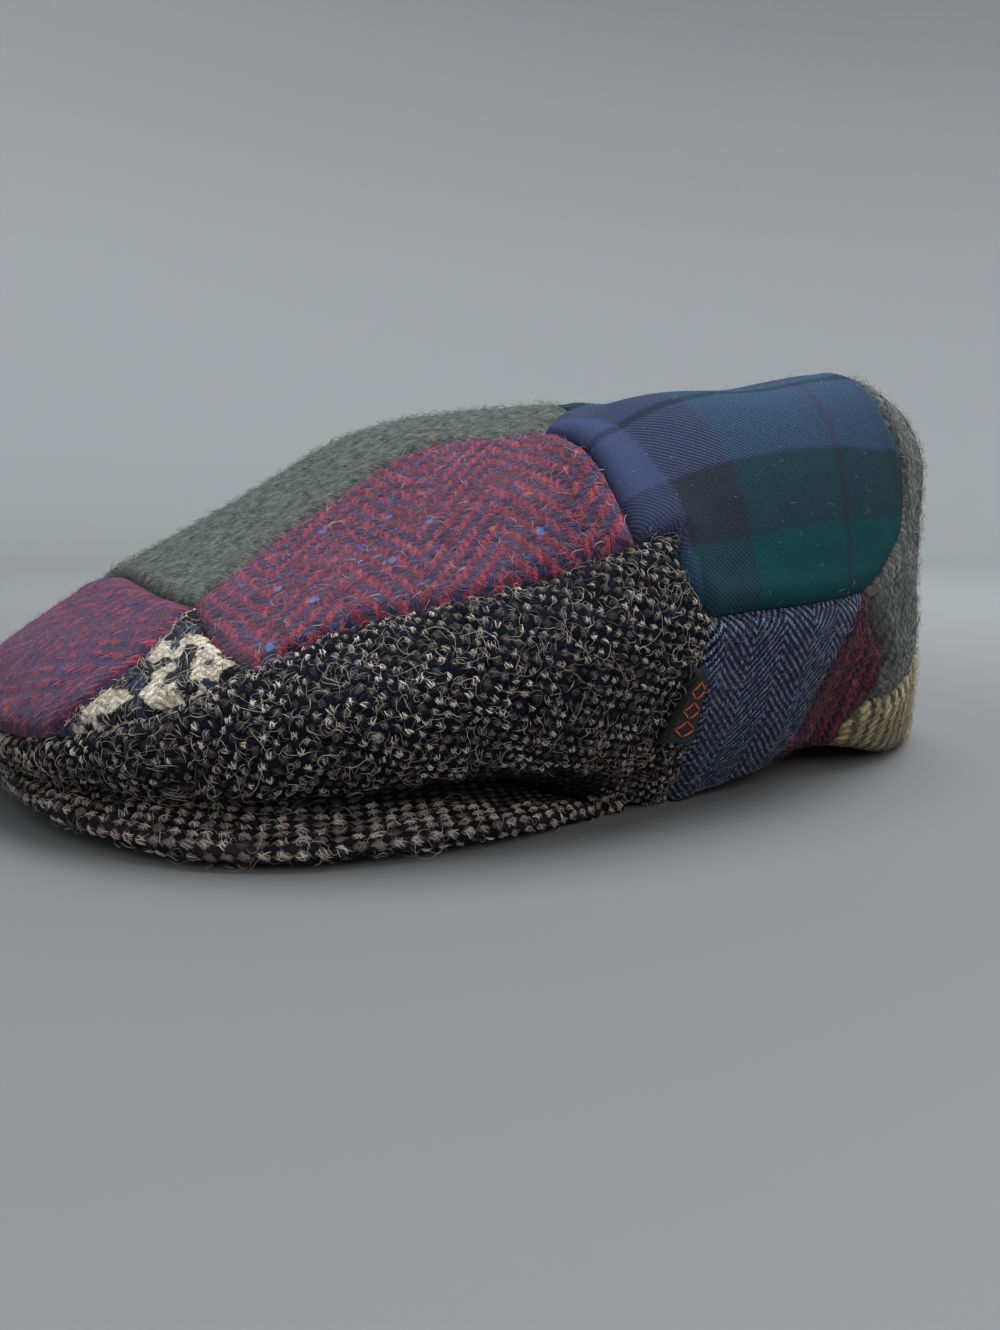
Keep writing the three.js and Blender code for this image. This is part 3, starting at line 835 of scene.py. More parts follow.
def addNeps(tree, colour, vector, weave):
    # little knots of bright wool caught in the yarn
    for k, (nepColour, share, apart, size) in enumerate(weave["neps"]):
        cells = tree.nodes.new("ShaderNodeTexVoronoi")
        cells.inputs["Scale"].default_value = 1 / apart
        rough = frayed(tree, moved(tree, vector, (13.7 * k, 7.3 * k, 3.1 * k)), 0.6, 0.7)
        tree.links.new(rough, cells.inputs["Vector"])
        pick = tree.nodes.new("ShaderNodeSeparateColor")
        tree.links.new(cells.outputs["Color"], pick.inputs[0])
        chosen = calc(tree, "LESS_THAN", pick.outputs[0], share)
        small = spread(tree, cells.outputs["Distance"], size / apart, 0.5 * size / apart)
        colour = mixColour(tree, calc(tree, "MULTIPLY", chosen, small), colour, nepColour)
    return colour


def addNap(tree, colour, pattern, nap):
    # loose wool that hides the weave in soft clouds
    fluff = noiseAt(tree, pattern, 1 / nap["fluff"], 5, 0.7)
    napColour = mixColour(tree, spread(tree, fluff, 0.34, 0.66), nap["dark"], nap["light"])
    cloud = noiseAt(tree, pattern, 1 / nap["cloud"], 4, 0.6)
    cover = spread(tree, cloud, nap["thin"], nap["thick"], 0.0, nap["cover"])
    return mixColour(tree, cover, colour, napColour)


def yarnColour(tree, weave, x, y, over, warpOwn, weftOwn):
    if "sett" in weave:
        sett = weave["sett"]
        warpColour = bandColour(tree, x, sett["repeat"], sett["across"])
        weftColour = bandColour(tree, y, sett["repeat"], sett["down"])
    else:
        warpColour = mixColour(tree, warpOwn, *weave["warp"])
        weftColour = mixColour(tree, weftOwn, *weave["weft"])
    return mixColour(tree, over, weftColour, warpColour)


def yarnShade(tree, weave, pattern, x, y, over, under, rise):
    # the fibres in a yarn run along it, and the hollows between yarns are darkened with painted shade
    streak, grit = weave["streak"], weave["speckle"]
    warpFibre = noiseAt(tree, joinUp(tree, calc(tree, "MULTIPLY", x, fibreStretch), y), fibreScale, 3)
    weftFibre = noiseAt(tree, joinUp(tree, x, calc(tree, "MULTIPLY", y, fibreStretch)), fibreScale, 3)
    warpShade = calc(tree, "MULTIPLY", spread(tree, warpFibre, 0.3, 0.7, 1 - streak, 1 + streak), over)
    weftShade = spread(tree, weftFibre, 0.3, 0.7, 1 - streak, 1 + streak)
    shade = calc(tree, "MULTIPLY_ADD", weftShade, under, warpShade)
    # painted shade: the lower a yarn lies, the darker it is painted
    shade = calc(tree, "MULTIPLY", shade, spread(tree, rise, 0, 1, 1 - weave["hollow"], 1.0))
    speckle = noiseAt(tree, pattern, 4.5, 3, 0.7)
    return calc(tree, "MULTIPLY", shade, spread(tree, speckle, 0.3, 0.7, 1 - grit, 1 + grit))


def weaveCells(tree, weave, x, y):
    # which yarn is on top, how high it stands, and a number of its own for each float
    across = calc(tree, "DIVIDE", x, weave["warpPitch"])
    down = calc(tree, "DIVIDE", y, weave["weftPitch"])
    i, j = calc(tree, "FLOOR", across), calc(tree, "FLOOR", down)
    sideways = calc(tree, "MULTIPLY_ADD", calc(tree, "FRACT", across), 2.0, -1.0)
    upwards = calc(tree, "MULTIPLY_ADD", calc(tree, "FRACT", down), 2.0, -1.0)
    if weave["kind"] == "plain":
        over = calc(tree, "LESS_THAN", calc(tree, "FLOORED_MODULO", calc(tree, "ADD", i, j), 2.0), 1.0)
        alongWarp, alongWeft = upwards, sideways
        stretch = j
    else:
        stepped = calc(tree, "PINGPONG", i, weave["band"]) if weave["kind"] == "herringbone" else i
        stagger = calc(tree, "ADD", stepped, j)
        travel = calc(tree, "ADD", calc(tree, "FLOORED_MODULO", stagger, 4.0), calc(tree, "FRACT", down))
        long = weave["warpFloat"]
        over = calc(tree, "LESS_THAN", travel, long)
        alongWarp = calc(tree, "MULTIPLY_ADD", travel, 2 / long, -1.0)
        alongWeft = calc(tree, "MULTIPLY_ADD", travel, 2 / (4 - long), -1 - 2 * long / (4 - long))
        stretch = calc(tree, "FLOOR", calc(tree, "DIVIDE", stagger, 4.0))
    under = calc(tree, "SUBTRACT", 1.0, over)

    def crown(width, length, height):
        rounded = calc(tree, "MULTIPLY_ADD", calc(tree, "MULTIPLY", width, width), -height, height)
        tapered = calc(tree, "MULTIPLY_ADD", calc(tree, "MULTIPLY", length, length), -floatDroop, 1.0)
        return calc(tree, "MULTIPLY", rounded, tapered)
    warpRise = calc(tree, "MULTIPLY", crown(sideways, alongWarp, 1.0), over)
    rise = calc(tree, "MULTIPLY_ADD", crown(upwards, alongWeft, weave["weftRise"]), under, warpRise)
    warpOwn = randomAt(tree, i, stretch)
    weftOwn = randomAt(tree, j, calc(tree, "FLOOR", calc(tree, "DIVIDE", across, 2.0)), 4.0)
    return over, under, rise, warpOwn, weftOwn


def clothMaterial(weave):
    if weave["name"] in bpy.data.materials:
        return bpy.data.materials[weave["name"]]
    material = bpy.data.materials.new(weave["name"])
    material.use_nodes = True
    tree = material.node_tree
    shader = tree.nodes["Principled BSDF"]
    source = tree.nodes.new("ShaderNodeUVMap")
    source.uv_map = "clothPattern"
    pattern = source.outputs["UV"]
    parts = tree.nodes.new("ShaderNodeSeparateXYZ")
    tree.links.new(frayed(tree, pattern, weave["fraySize"], weave["fray"]), parts.inputs[0])
    x, y = parts.outputs["X"], parts.outputs["Y"]
    over, under, rise, warpOwn, weftOwn = weaveCells(tree, weave, x, y)
    colour = yarnColour(tree, weave, x, y, over, warpOwn, weftOwn)
    shade = yarnShade(tree, weave, pattern, x, y, over, under, rise)
    # the yarn colour takes its streaks and speckle, and the painted shade in the hollows
    colour = mixColour(tree, 1.0, colour, joinUp(tree, shade, shade, shade), "MULTIPLY")
    # patches of a second yarn
    for blotColour, size, low, high in weave["blots"]:
        blot = noiseAt(tree, frayed(tree, pattern, 0.8, 0.7), 1 / size, 1.5, 0.5)
        colour = mixColour(tree, spread(tree, blot, low, high), colour, blotColour)
    if "nap" in weave:
        colour = addNap(tree, colour, pattern, weave["nap"])
    colour = addNeps(tree, colour, pattern, weave)
    tree.links.new(colour, shader.inputs["Base Color"])
    shader.inputs["Roughness"].default_value = weave["roughness"]
    shader.inputs["Specular IOR Level"].default_value = 0.12
    shader.inputs["Sheen Weight"].default_value = weave["sheen"]
    shader.inputs["Sheen Roughness"].default_value = 0.4
    shader.inputs["Sheen Tint"].default_value = (*weave["sheenTint"], 1)
    bump = tree.nodes.new("ShaderNodeBump")
    bump.inputs["Strength"].default_value = weave["bump"]
    bump.inputs["Distance"].default_value = 0.0006
    fuzz = noiseAt(tree, pattern, 3.0, 3, 0.6)
    tree.links.new(calc(tree, "MULTIPLY_ADD", fuzz, weave["fuzz"], rise), bump.inputs["Height"])
    tree.links.new(bump.outputs["Normal"], shader.inputs["Normal"])
    return material


# what every cloth has unless its own list says otherwise
plainCloth = {
    "warpFloat": 2.0,   # of every four crossings, how many the warp lies over
    "weftRise": 0.8,
    "wobble": 0.5,      # mm that the yarns wander
    "relief": 0.0,      # mm that the weave stands up
    "lumps": 0.15,
    "lumpSize": 2.6,
    "fray": 0.4,        # mm that loose fibres blur a yarn's edge
    "fraySize": 0.9,
    "streak": 0.5,
    "speckle": 0.4,
    # how much painted shade darkens the hollows between yarns
    "hollow": 0.65,
    "sheen": 0.12,
    "sheenTint": (0.8, 0.8, 0.85),
    "roughness": 0.95,
    "bump": 0.8,
    "fuzz": 0.8,
    "blots": [],        # patches: colour, mm across, and the noise they start and end at
    "neps": [],         # knots: colour, how many of them, mm apart, mm across
}
basketWeave = plainCloth | {
    "name": "basketTweed",
    "kind": "plain",
    "warpPitch": 1.62,
    "weftPitch": 1.62,
    "warp": [(0.02, 0.019, 0.023), (0.11, 0.095, 0.092)],
    "weft": [(0.002, 0.004, 0.014), (0.014, 0.018, 0.042)],
    "hollow": 0.8,
    "weftRise": 0.45,
    "lumps": 0.32,
    "lumpSize": 1.9,
    "fray": 0.65,
    "sheen": 0.0,
    "bump": 1.0,
    "neps": [((0.01, 0.025, 0.14), 0.08, 9.0, 1.0), ((0.4, 0.37, 0.32), 0.05, 7.0, 1.2)],
}
# the peak's copy of the basket tweed has larger floats, and lighter yarns that are painted light on the
# peak's band
litPeakWeave = basketWeave | {
    "name": "peakTweed",
    "warpPitch": 2.3,
    "weftPitch": 1.75,
    "warp": [(0.07, 0.058, 0.056), (0.24, 0.2, 0.185)],
    "weft": [(0.006, 0.006, 0.011), (0.035, 0.031, 0.038)],
    "hollow": 0.65,
}
roseWeave = plainCloth | {
    "name": "roseHerringbone",
    "kind": "herringbone",
    "band": 14,
    "warpPitch": 1.1,
    "weftPitch": 1.75,
    "warpFloat": 2.25,
    "warp": [(0.13, 0.012, 0.03), (0.42, 0.06, 0.09)],
    "weft": [(0.006, 0.012, 0.045), (0.05, 0.075, 0.18)],
    "weftRise": 0.6,
    "relief": 0.2,
    "fray": 1.25,
    "streak": 0.7,
    "speckle": 0.75,
    "fuzz": 1.6,
    "sheen": 0.3,
    "sheenTint": (0.9, 0.6, 0.78),
    "nap": {
        "cloud": 16.0,
        "fluff": 0.9,
        "thin": 0.45,
        "thick": 0.8,
        "cover": 0.4,
        "dark": (0.1, 0.03, 0.06),
        "light": (0.36, 0.13, 0.19),
    },
    "neps": [
        ((0.02, 0.07, 0.3), 0.3, 6.5, 1.1),
        ((0.09, 0.2, 0.45), 0.2, 7.5, 1.2),
        ((0.42, 0.12, 0.03), 0.22, 7.0, 1.0),
        ((0.28, 0.3, 0.42), 0.1, 7.0, 1.1),
    ],
}
maroonWeave = roseWeave | {
    "name": "maroonTweed",
    "warp": [(0.14, 0.014, 0.034), (0.38, 0.045, 0.085)],
    "weft": [(0.012, 0.012, 0.045), (0.05, 0.035, 0.1)],
    "blots": [((0.012, 0.014, 0.06), 3.2, 0.47, 0.56)],
    "fray": 0.8,
    "streak": 0.45,
    "nap": {
        "cloud": 11.0,
        "fluff": 1.3,
        "thin": 0.4,
        "thick": 0.65,
        "cover": 0.35,
        "dark": (0.08, 0.02, 0.05),
        "light": (0.32, 0.1, 0.17),
    },
    "neps": [((0.05, 0.06, 0.2), 0.3, 8.0, 2.0), ((0.3, 0.07, 0.04), 0.12, 8.0, 1.4)],
}
greenWeave = plainCloth | {
    "name": "greenTweed",
    "kind": "twill",
    "warpPitch": 1.0,
    "weftPitch": 1.0,
    "warp": [(0.02, 0.03, 0.026), (0.08, 0.1, 0.08)],
    "weft": [(0.012, 0.02, 0.02), (0.05, 0.065, 0.055)],
    "lumps": 0.25,
    "nap": {
        "cloud": 5.0,
        "fluff": 2.6,
        "thin": 0.2,
        "thick": 0.5,
        "cover": 0.95,
        "dark": (0.004, 0.008, 0.006),
        "light": (0.165, 0.187, 0.16),
    },
    "fuzz": 1.6,
    "sheen": 0.22,
    "neps": [((0.4, 0.3, 0.05), 0.06, 9.0, 1.1), ((0.2, 0.09, 0.05), 0.05, 9.0, 1.2)],
}
navy = (0.07, 0.087, 0.21)
black = (0.027, 0.037, 0.056)
bottleGreen = (0.003, 0.078, 0.092)
dusk = (0.018, 0.024, 0.07)
tartanWeave = plainCloth | {
    "name": "tartanWorsted",
    "kind": "twill",
    "warpPitch": 0.28,
    "weftPitch": 0.28,
    "wobble": 0.05,
    "sett": {
        "repeat": 138.0,
        "across": [
            (0, bottleGreen), (10, black), (24, navy), (52.5, dusk), (55, navy),
            (72.5, black), (87, bottleGreen), (113, black), (115.5, bottleGreen),
        ],
        "down": [
            (0, black), (7, bottleGreen), (33.5, black), (36, bottleGreen),
            (66, black), (81, navy), (103, black), (105.5, navy), (132, black),
        ],
    },
    "lumps": 0.0,
    "fray": 0.08,
    "fraySize": 0.4,
    "streak": 0.3,
    "speckle": 0.35,
    "hollow": 0.7,
    "sheen": 0.0,
    "roughness": 0.8,
    "bump": 0.5,
    "fuzz": 0.3,
}
creamWeave = plainCloth | {
    "name": "creamTweed",
    "kind": "twill",
    "warpPitch": 1.5,
    "weftPitch": 1.5,
    "warp": [(0.78, 0.66, 0.5), (0.95, 0.86, 0.71)],
    "weft": [(0.68, 0.57, 0.43), (0.88, 0.78, 0.62)],
    "relief": 0.2,
    "fray": 0.9,
    "streak": 0.3,
    "speckle": 0.3,
    "hollow": 0.5,
    "blots": [
        ((0.006, 0.007, 0.01), 7.0, 0.47, 0.5),
        ((0.03, 0.045, 0.085), 5.0, 0.58, 0.61),
    ],
    "neps": [((0.05, 0.22, 0.32), 0.3, 6.5, 1.3)],
}
blueWeave = plainCloth | {
    "name": "blueHerringbone",
    "kind": "herringbone",
    "band": 19,
    "warpPitch": 0.48,
    "weftPitch": 0.52,
    "warpFloat": 1.8,
    "warp": [(0.035, 0.055, 0.15), (0.36, 0.44, 0.7)],
    "weft": [(0.001, 0.003, 0.025), (0.006, 0.012, 0.06)],
    "wobble": 0.3,
    "fray": 0.35,
    "fraySize": 0.5,
    "speckle": 0.8,
    "hollow": 0.8,
    "weftRise": 0.55,
    "neps": [((0.4, 0.36, 0.28), 0.04, 7.0, 1.0)],
}
wineWeave = plainCloth | {
    "name": "wineTweed",
    "kind": "twill",
    "warpPitch": 1.4,
    "weftPitch": 1.4,
    "warp": [(0.08, 0.01, 0.02), (0.2, 0.024, 0.04)],
    "weft": [(0.01, 0.007, 0.02), (0.035, 0.014, 0.035)],
    "relief": 0.4,
    "fray": 0.55,
    "neps": [((0.02, 0.025, 0.2), 0.25, 6.0, 1.3), ((0.35, 0.09, 0.03), 0.25, 6.0, 1.2)],
}
greyWeave = plainCloth | {
    "name": "greyTweed",
    "kind": "twill",
    "warpPitch": 1.3,
    "weftPitch": 1.3,
    "warp": [(0.06, 0.06, 0.058), (0.26, 0.25, 0.235)],
    "weft": [(0.015, 0.017, 0.018), (0.06, 0.064, 0.064)],
    "relief": 0.12,
    "lumps": 0.3,
    "fray": 0.9,
    "nap": {
        "cloud": 6.0,
        "fluff": 1.6,
        "thin": 0.3,
        "thick": 0.65,
        "cover": 0.8,
        "dark": (0.03, 0.034, 0.036),
        "light": (0.2, 0.195, 0.18),
    },
    "neps": [((0.03, 0.12, 0.06), 0.12, 7.0, 1.5), ((0.2, 0.08, 0.05), 0.08, 7.0, 1.2)],
}
mustardWeave = plainCloth | {
    "name": "mustardTweed",
    "kind": "twill",
    "warpPitch": 1.6,
    "weftPitch": 1.6,
    "warpFloat": 2.4,
    "warp": [(0.36, 0.29, 0.16), (0.66, 0.55, 0.34)],
    "weft": [(0.04, 0.034, 0.024), (0.26, 0.21, 0.13)],
    "relief": 0.15,
    "fray": 1.0,
    "nap": {
        "cloud": 7.0,
        "fluff": 1.4,
        "thin": 0.45,
        "thick": 0.8,
        "cover": 0.6,
        "dark": (0.07, 0.06, 0.035),
        "light": (0.36, 0.29, 0.16),
    },
}
ribbonWeave = plainCloth | {
    "name": "tabRibbon",
    "kind": "plain",
    "warpPitch": 0.34,
    "weftPitch": 0.34,
    "warp": [(0.012, 0.018, 0.016), (0.03, 0.042, 0.036)],
    "weft": [(0.008, 0.012, 0.012), (0.02, 0.03, 0.026)],
    "wobble": 0.0,
    "lumps": 0.0,
    "fray": 0.06,
    "fraySize": 0.3,
    "hollow": 0.5,
    "bump": 0.5,
    "fuzz": 0.4,
}

clothLooks = {
    "front_panel": {"slot": "maroon_tweed", "weave": maroonWeave, "grain": 35, "fineness": 14},
    "top_front": {"slot": "green_tweed", "weave": greenWeave, "grain": 30, "fineness": 9},
    "top_rear": {"slot": "tartan_worsted", "weave": tartanWeave, "grain": 13, "fineness": 8},
    "left_gusset": {"slot": "cream_tweed", "weave": creamWeave, "grain": 20, "fineness": 13},
    "right_gusset": {"slot": "mustard_tweed", "weave": mustardWeave, "grain": 20, "fineness": 8},
    "left_top": {"slot": "rose_herringbone", "weave": roseWeave, "grain": -20, "fineness": 18},
    "right_top": {"slot": "grey_tweed", "weave": greyWeave, "grain": 30, "fineness": 9},
    "left_side_front": {"slot": "basket_tweed", "weave": basketWeave, "grain": -8, "fineness": 8},
    "right_side_front": {"slot": "blue_herringbone", "weave": blueWeave, "grain": 5, "fineness": 7},
    "left_side_rear": {"slot": "blue_herringbone", "weave": blueWeave, "grain": -12, "fineness": 12},
    "right_side_rear": {"slot": "basket_tweed", "weave": basketWeave, "grain": 5, "fineness": 8},
    "left_back_gusset": {"slot": "wine_tweed", "weave": wineWeave, "grain": 25, "fineness": 9},
    "right_back_gusset": {"slot": "green_tweed", "weave": greenWeave, "grain": 25, "fineness": 8},
    "left_back": {"slot": "grey_tweed", "weave": greyWeave, "grain": 20, "fineness": 9},
    "right_back": {"slot": "rose_herringbone", "weave": roseWeave, "grain": 20, "fineness": 9},
    "left_back_lower": {"slot": "mustard_tweed", "weave": mustardWeave, "grain": 20, "fineness": 8},
    "right_back_lower": {"slot": "maroon_tweed", "weave": maroonWeave, "grain": 20, "fineness": 8},
}

made = {}
for node, look in clothLooks.items():
    made[node] = clothPiece(node, look)
peakLook = {
    "slot": "basket_tweed",
    "weave": litPeakWeave,
    "grain": 32,
    "fineness": 9,
    "thickness": 3.5,
    "arcRadius": 118,   # the weave runs round the middle of the peak
    "pucker": 0.25,
    "puckerSize": 7,
    "tuckedShade": 0.38,     # how much of the top stays under the fold, clear of fibres; the bare darker weave there is partly hidden cloth and partly painted shade in the crease
}
made["peak"] = peakPiece(peakLook)
print("cloth pieces sewn:", len(made))

# fibres: the tufts, curls and nap that stand on the cloth


def readGrid(grid, place):
    rows, columns = grid.shape[:2]
    first = np.minimum(place.astype(int), (rows - 2, columns - 2))
    down, along = (place - first).T[..., None]
    j, i = first.T
    above = grid[j, i] * (1 - along) + grid[j, i + 1] * along
    below = grid[j + 1, i] * (1 - along) + grid[j + 1, i + 1] * along
    return above * (1 - down) + below * down


def stepTable(cloth):
    # how far to go along the rows and columns for a millimetre each way on the cloth
    down, along = np.gradient(cloth["flat"], axis=0), np.gradient(cloth["flat"], axis=1)
    spin = down[..., 0] * along[..., 1] - down[..., 1] * along[..., 0]
    spin = np.where(np.abs(spin) < 0.02, 0.02 * np.sign(spin) + (spin == 0) * 0.02, spin)
    table = [along[..., 1], -along[..., 0], -down[..., 1], down[..., 0]]
    return np.stack(table, -1) / spin[..., None]


def stepBy(table, right, up):
    # millimetres right and up on the cloth, as steps down and along its grid
    down = table[..., 0] * right + table[..., 1] * up
    along = table[..., 2] * right + table[..., 3] * up
    return np.stack([down, along], -1)


def tuftPlaces(cloth):
    # the middle of each light crossing of the basket weave
    pattern, weave = cloth["pattern"], cloth["look"]["weave"]
    rows, columns = pattern.shape[:2]
    tree = KDTree(rows * columns)
    for k, spot in enumerate(pattern.reshape(-1, 2).tolist()):
        tree.insert((*spot, 0), k)
    tree.balance()
    pitch = np.array([weave["warpPitch"], weave["weftPitch"]])
    low = np.floor(pattern.min((0, 1)) / pitch).astype(int)
    high = np.ceil(pattern.max((0, 1)) / pitch).astype(int)
    steps = stepTable(cloth)
    places = []
    for i in range(low[0], high[0]):
        for j in range(low[1] + (low[1] + i) % 2, high[1], 2):
            goal = ((i + 0.5) * pitch[0], (j + 0.5) * pitch[1])
            spot, k, far = tree.find((*goal, 0))
            if far < pitch[0]:
                row, column = divmod(k, columns)
                right, up = goal[0] - spot[0], goal[1] - spot[1]
                table = steps[row, column]
                down = row + table[0] * right + table[1] * up
                along = column + table[2] * right + table[3] * up
                places.append((down, along))
    return np.array(places)


def scatteredPlaces(cloth, perMm, rng):
    surface = cloth["surface"]
    down, along = np.diff(surface, axis=0)[:, :-1], np.diff(surface, axis=1)[:-1]
    area = np.linalg.norm(np.cross(down, along), axis=-1) * cloth["open"][:-1, :-1]
    count = int(area.sum() * perMm)
    cell = rng.choice(area.size, count, p=(area / area.sum()).ravel())
    return np.stack(np.divmod(cell, area.shape[1]), -1) + rng.uniform(0, 1, (count, 2))


def heldOn(cloth, places):
    return np.clip(places, 0, np.array(cloth["open"].shape) - 1)


def onOpenCloth(cloth, places):
    inside = (places == heldOn(cloth, places)).all(1)
    row, column = heldOn(cloth, np.round(places).astype(int)).T
    return inside & cloth["open"][row, column]


offFloor = 0.1


def walkedPaths(cloth, places, headings, look, rng):
    # each fibre walks over the cloth, turning as it goes, and lifts off it
    count, steps = len(places), look["steps"]
    table = stepTable(cloth)
    rowEdge, columnEdge = np.gradient(cloth["surface"], axis=(0, 1))
    stride = rng.uniform(*look["length"], count) / steps
    curl = rng.normal(0, look["curl"], count)
    arch = rng.uniform(*look["arch"], count)
    tip = rng.uniform(*look["tip"], count)
    places, headings = places.copy(), headings.copy()
    paths = np.zeros((count, steps + 1, 3))
    for k in range(steps + 1):
        held = heldOn(cloth, places)
        share = k / steps
        rise = look["root"] + arch * math.sin(math.pi * share) + tip * share ** 2
        beyond = places - held
        spot = readGrid(cloth["surface"], held) + rise[:, None] * readGrid(cloth["normals"], held)
        spot += beyond[:, :1] * readGrid(rowEdge, held) + beyond[:, 1:] * readGrid(columnEdge, held)
        paths[:, k] = spot
        right, up = stride * np.cos(headings), stride * np.sin(headings)
        places += stepBy(readGrid(table, held), right, up)
        headings += curl + rng.normal(0, look["jitter"], count)
    paths[..., 2] = np.maximum(paths[..., 2], offFloor)
    return paths


def fibreMaterial(name):
    if name in bpy.data.materials:
        return bpy.data.materials[name]
    material = bpy.data.materials.new(name)
    material.use_nodes = True
    shader = material.node_tree.nodes["Principled BSDF"]
    shader.inputs["Base Color"].default_value = (*fibreColours[name], 1)
    shader.inputs["Roughness"].default_value = 0.75
    shader.inputs["Specular IOR Level"].default_value = 0.2
    return material


fibreTaper = 0.6   # how much thinner the ends are


def fibreMesh(name, paths, thick, up, shades, shadeOf):
    # closed three-sided threads, thinner towards both ends
    count, rings = paths.shape[:2]
    along = np.gradient(paths, axis=1)
    along /= np.maximum(np.linalg.norm(along, axis=-1, keepdims=True), 1e-9)
    side = np.cross(along, up[:, None])
    side /= np.maximum(np.linalg.norm(side, axis=-1, keepdims=True), 1e-9)
    over = np.cross(side, along)
    slim = 1 - fibreTaper * np.abs(np.linspace(-1, 1, rings)) ** 2.5
    radius = (thick[:, None] * slim)[..., None]
    corners = []
    for k in range(3):
        turn = 2 * math.pi * k / 3
        corners.append(paths + radius * (math.cos(turn) * side + math.sin(turn) * over))
    points = np.stack(corners, 2).reshape(-1, 3)
    points[:, 2] = np.maximum(points[:, 2], 0)
    index = np.arange(count * rings * 3).reshape(count, rings, 3)
    near, far = index[:, :-1], index[:, 1:]
    quads = np.stack([near, far, np.roll(far, -1, 2), np.roll(near, -1, 2)], -1).reshape(count, -1, 4)
    faces = []
    for own, first, last in zip(quads.tolist(), index[:, 0].tolist(), index[:, -1].tolist()):
        faces.extend(own)
        faces.append(first)
        faces.append(last[::-1])
    piece = meshFrom(name, points, faces)
    for shade in shades:
        piece.data.materials.append(fibreMaterial(shade))
    perFibre = len(faces) // count
    piece.data.polygons.foreach_set("material_index", np.repeat(shadeOf, perFibre).astype(np.int32))
    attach(piece, "root")
    return piece


# lengths and heights in millimetres, turns in radians
tuftLook = {
    "steps": 3,
    "length": (1.1, 2.1),
    "thick": (0.07, 0.15),    # a thread's radius
    "root": -0.3,             # how high it starts
    "arch": (0.35, 0.95),     # how high its middle lifts
    "tip": (-0.15, 0.15),     # and its end
    "curl": 0.05,             # how far it turns at each step, and how unevenly
    "jitter": 0.2,
    "perTuft": 5,
    "heading": 90,            # degrees: 0 runs across the pattern, 90 up it
    "lean": 0.25,             # how far whole tufts stray from it, and their threads
    "fan": 0.45,
    "bundle": 0.5,
    "missing": 0.08,          # share of crossings that have none
    "odd": 0.25,              # share of threads a shade darker than their tuft
}
peakTuftLook = tuftLook | {
    "length": (1.9, 3.4),
    "perTuft": 7,
    "heading": 0,
    "fan": 0.48,
    "bundle": 0.7,
    "missing": 0.12,
}
curlLook = {
    "steps": 5,
    "length": (1.2, 4.0),
    "thick": (0.02, 0.044),
    "root": 0.35,
    "arch": (0.3, 0.9),
    "tip": (-0.3, 0.8),
    "curl": 0.45,
    "jitter": 0.4,
}
loopLook = curlLook | {
    "steps": 10,
    "length": (5.0, 11.0),
    "arch": (0.6, 2.2),
    "tip": (-0.3, 1.2),
    "curl": 0.5,
    "jitter": 0.25,
}
napLook = {
    "steps": 3,
    "length": (1.2, 3.6),
    "thick": (0.022, 0.05),
    "root": 0.0,
    "arch": (0.1, 0.5),
    "tip": (0.0, 1.4),
    "curl": 0.25,
    "jitter": 0.35,
}
thickNapLook = napLook | {"thick": (0.03, 0.055)}
longNapLook = napLook | {"thick": (0.03, 0.06), "length": (2.0, 5.0), "tip": (0.2, 1.8), "curl": 0.6}
lintLook = napLook | {"length": (0.5, 1.6), "thick": (0.02, 0.035)}

fibreColours = {
    "creamFibre": (0.62, 0.56, 0.48),
    # paleTaupeFibre is only on the peak, where its paleness is painted light
    "paleTaupeFibre": (0.54, 0.45, 0.41),
    "oatFibre": (0.4, 0.345, 0.3),
    "taupeFibre": (0.2, 0.165, 0.148),
    "brownFibre": (0.052, 0.042, 0.042),
    "roseFibre": (0.36, 0.09, 0.13),
    "lilacFibre": (0.3, 0.2, 0.34),
    "slateFibre": (0.12, 0.14, 0.27),
    "mossFibre": (0.14, 0.17, 0.13),
    "sageFibre": (0.26, 0.28, 0.23),
    "silverFibre": (0.36, 0.36, 0.34),
    "goldFibre": (0.36, 0.27, 0.12),
    "inkFibre": (0.02, 0.022, 0.035),
    "tabThread": (0.62, 0.1, 0.05),
}

# the colours in each wool, and the share of each
# the peak's wool is lighter than the basket's, as painted light on the peak's band
litPeakTufts = {"creamFibre": 0.22, "paleTaupeFibre": 0.48, "oatFibre": 0.2, "taupeFibre": 0.1}
basketTufts = {"creamFibre": 0.17, "oatFibre": 0.34, "taupeFibre": 0.3, "brownFibre": 0.19}
basketCurls = {"creamFibre": 0.36, "oatFibre": 0.34, "taupeFibre": 0.2, "brownFibre": 0.1}
roseWool = {"roseFibre": 0.52, "lilacFibre": 0.22, "slateFibre": 0.22, "creamFibre": 0.04}
maroonWool = {"roseFibre": 0.6, "lilacFibre": 0.18, "slateFibre": 0.22}
greenWool = {"mossFibre": 0.5, "sageFibre": 0.3, "inkFibre": 0.2}
creamWool = {"creamFibre": 0.45, "oatFibre": 0.2, "inkFibre": 0.35}
blueWool = {"silverFibre": 0.35, "slateFibre": 0.4, "inkFibre": 0.25}
wineWool = {"roseFibre": 0.6, "inkFibre": 0.25, "slateFibre": 0.15}
greyWool = {"silverFibre": 0.5, "sageFibre": 0.25, "inkFibre": 0.25}
mustardWool = {"goldFibre": 0.5, "oatFibre": 0.25, "inkFibre": 0.25}
tartanLint = {"silverFibre": 0.5, "slateFibre": 0.5}

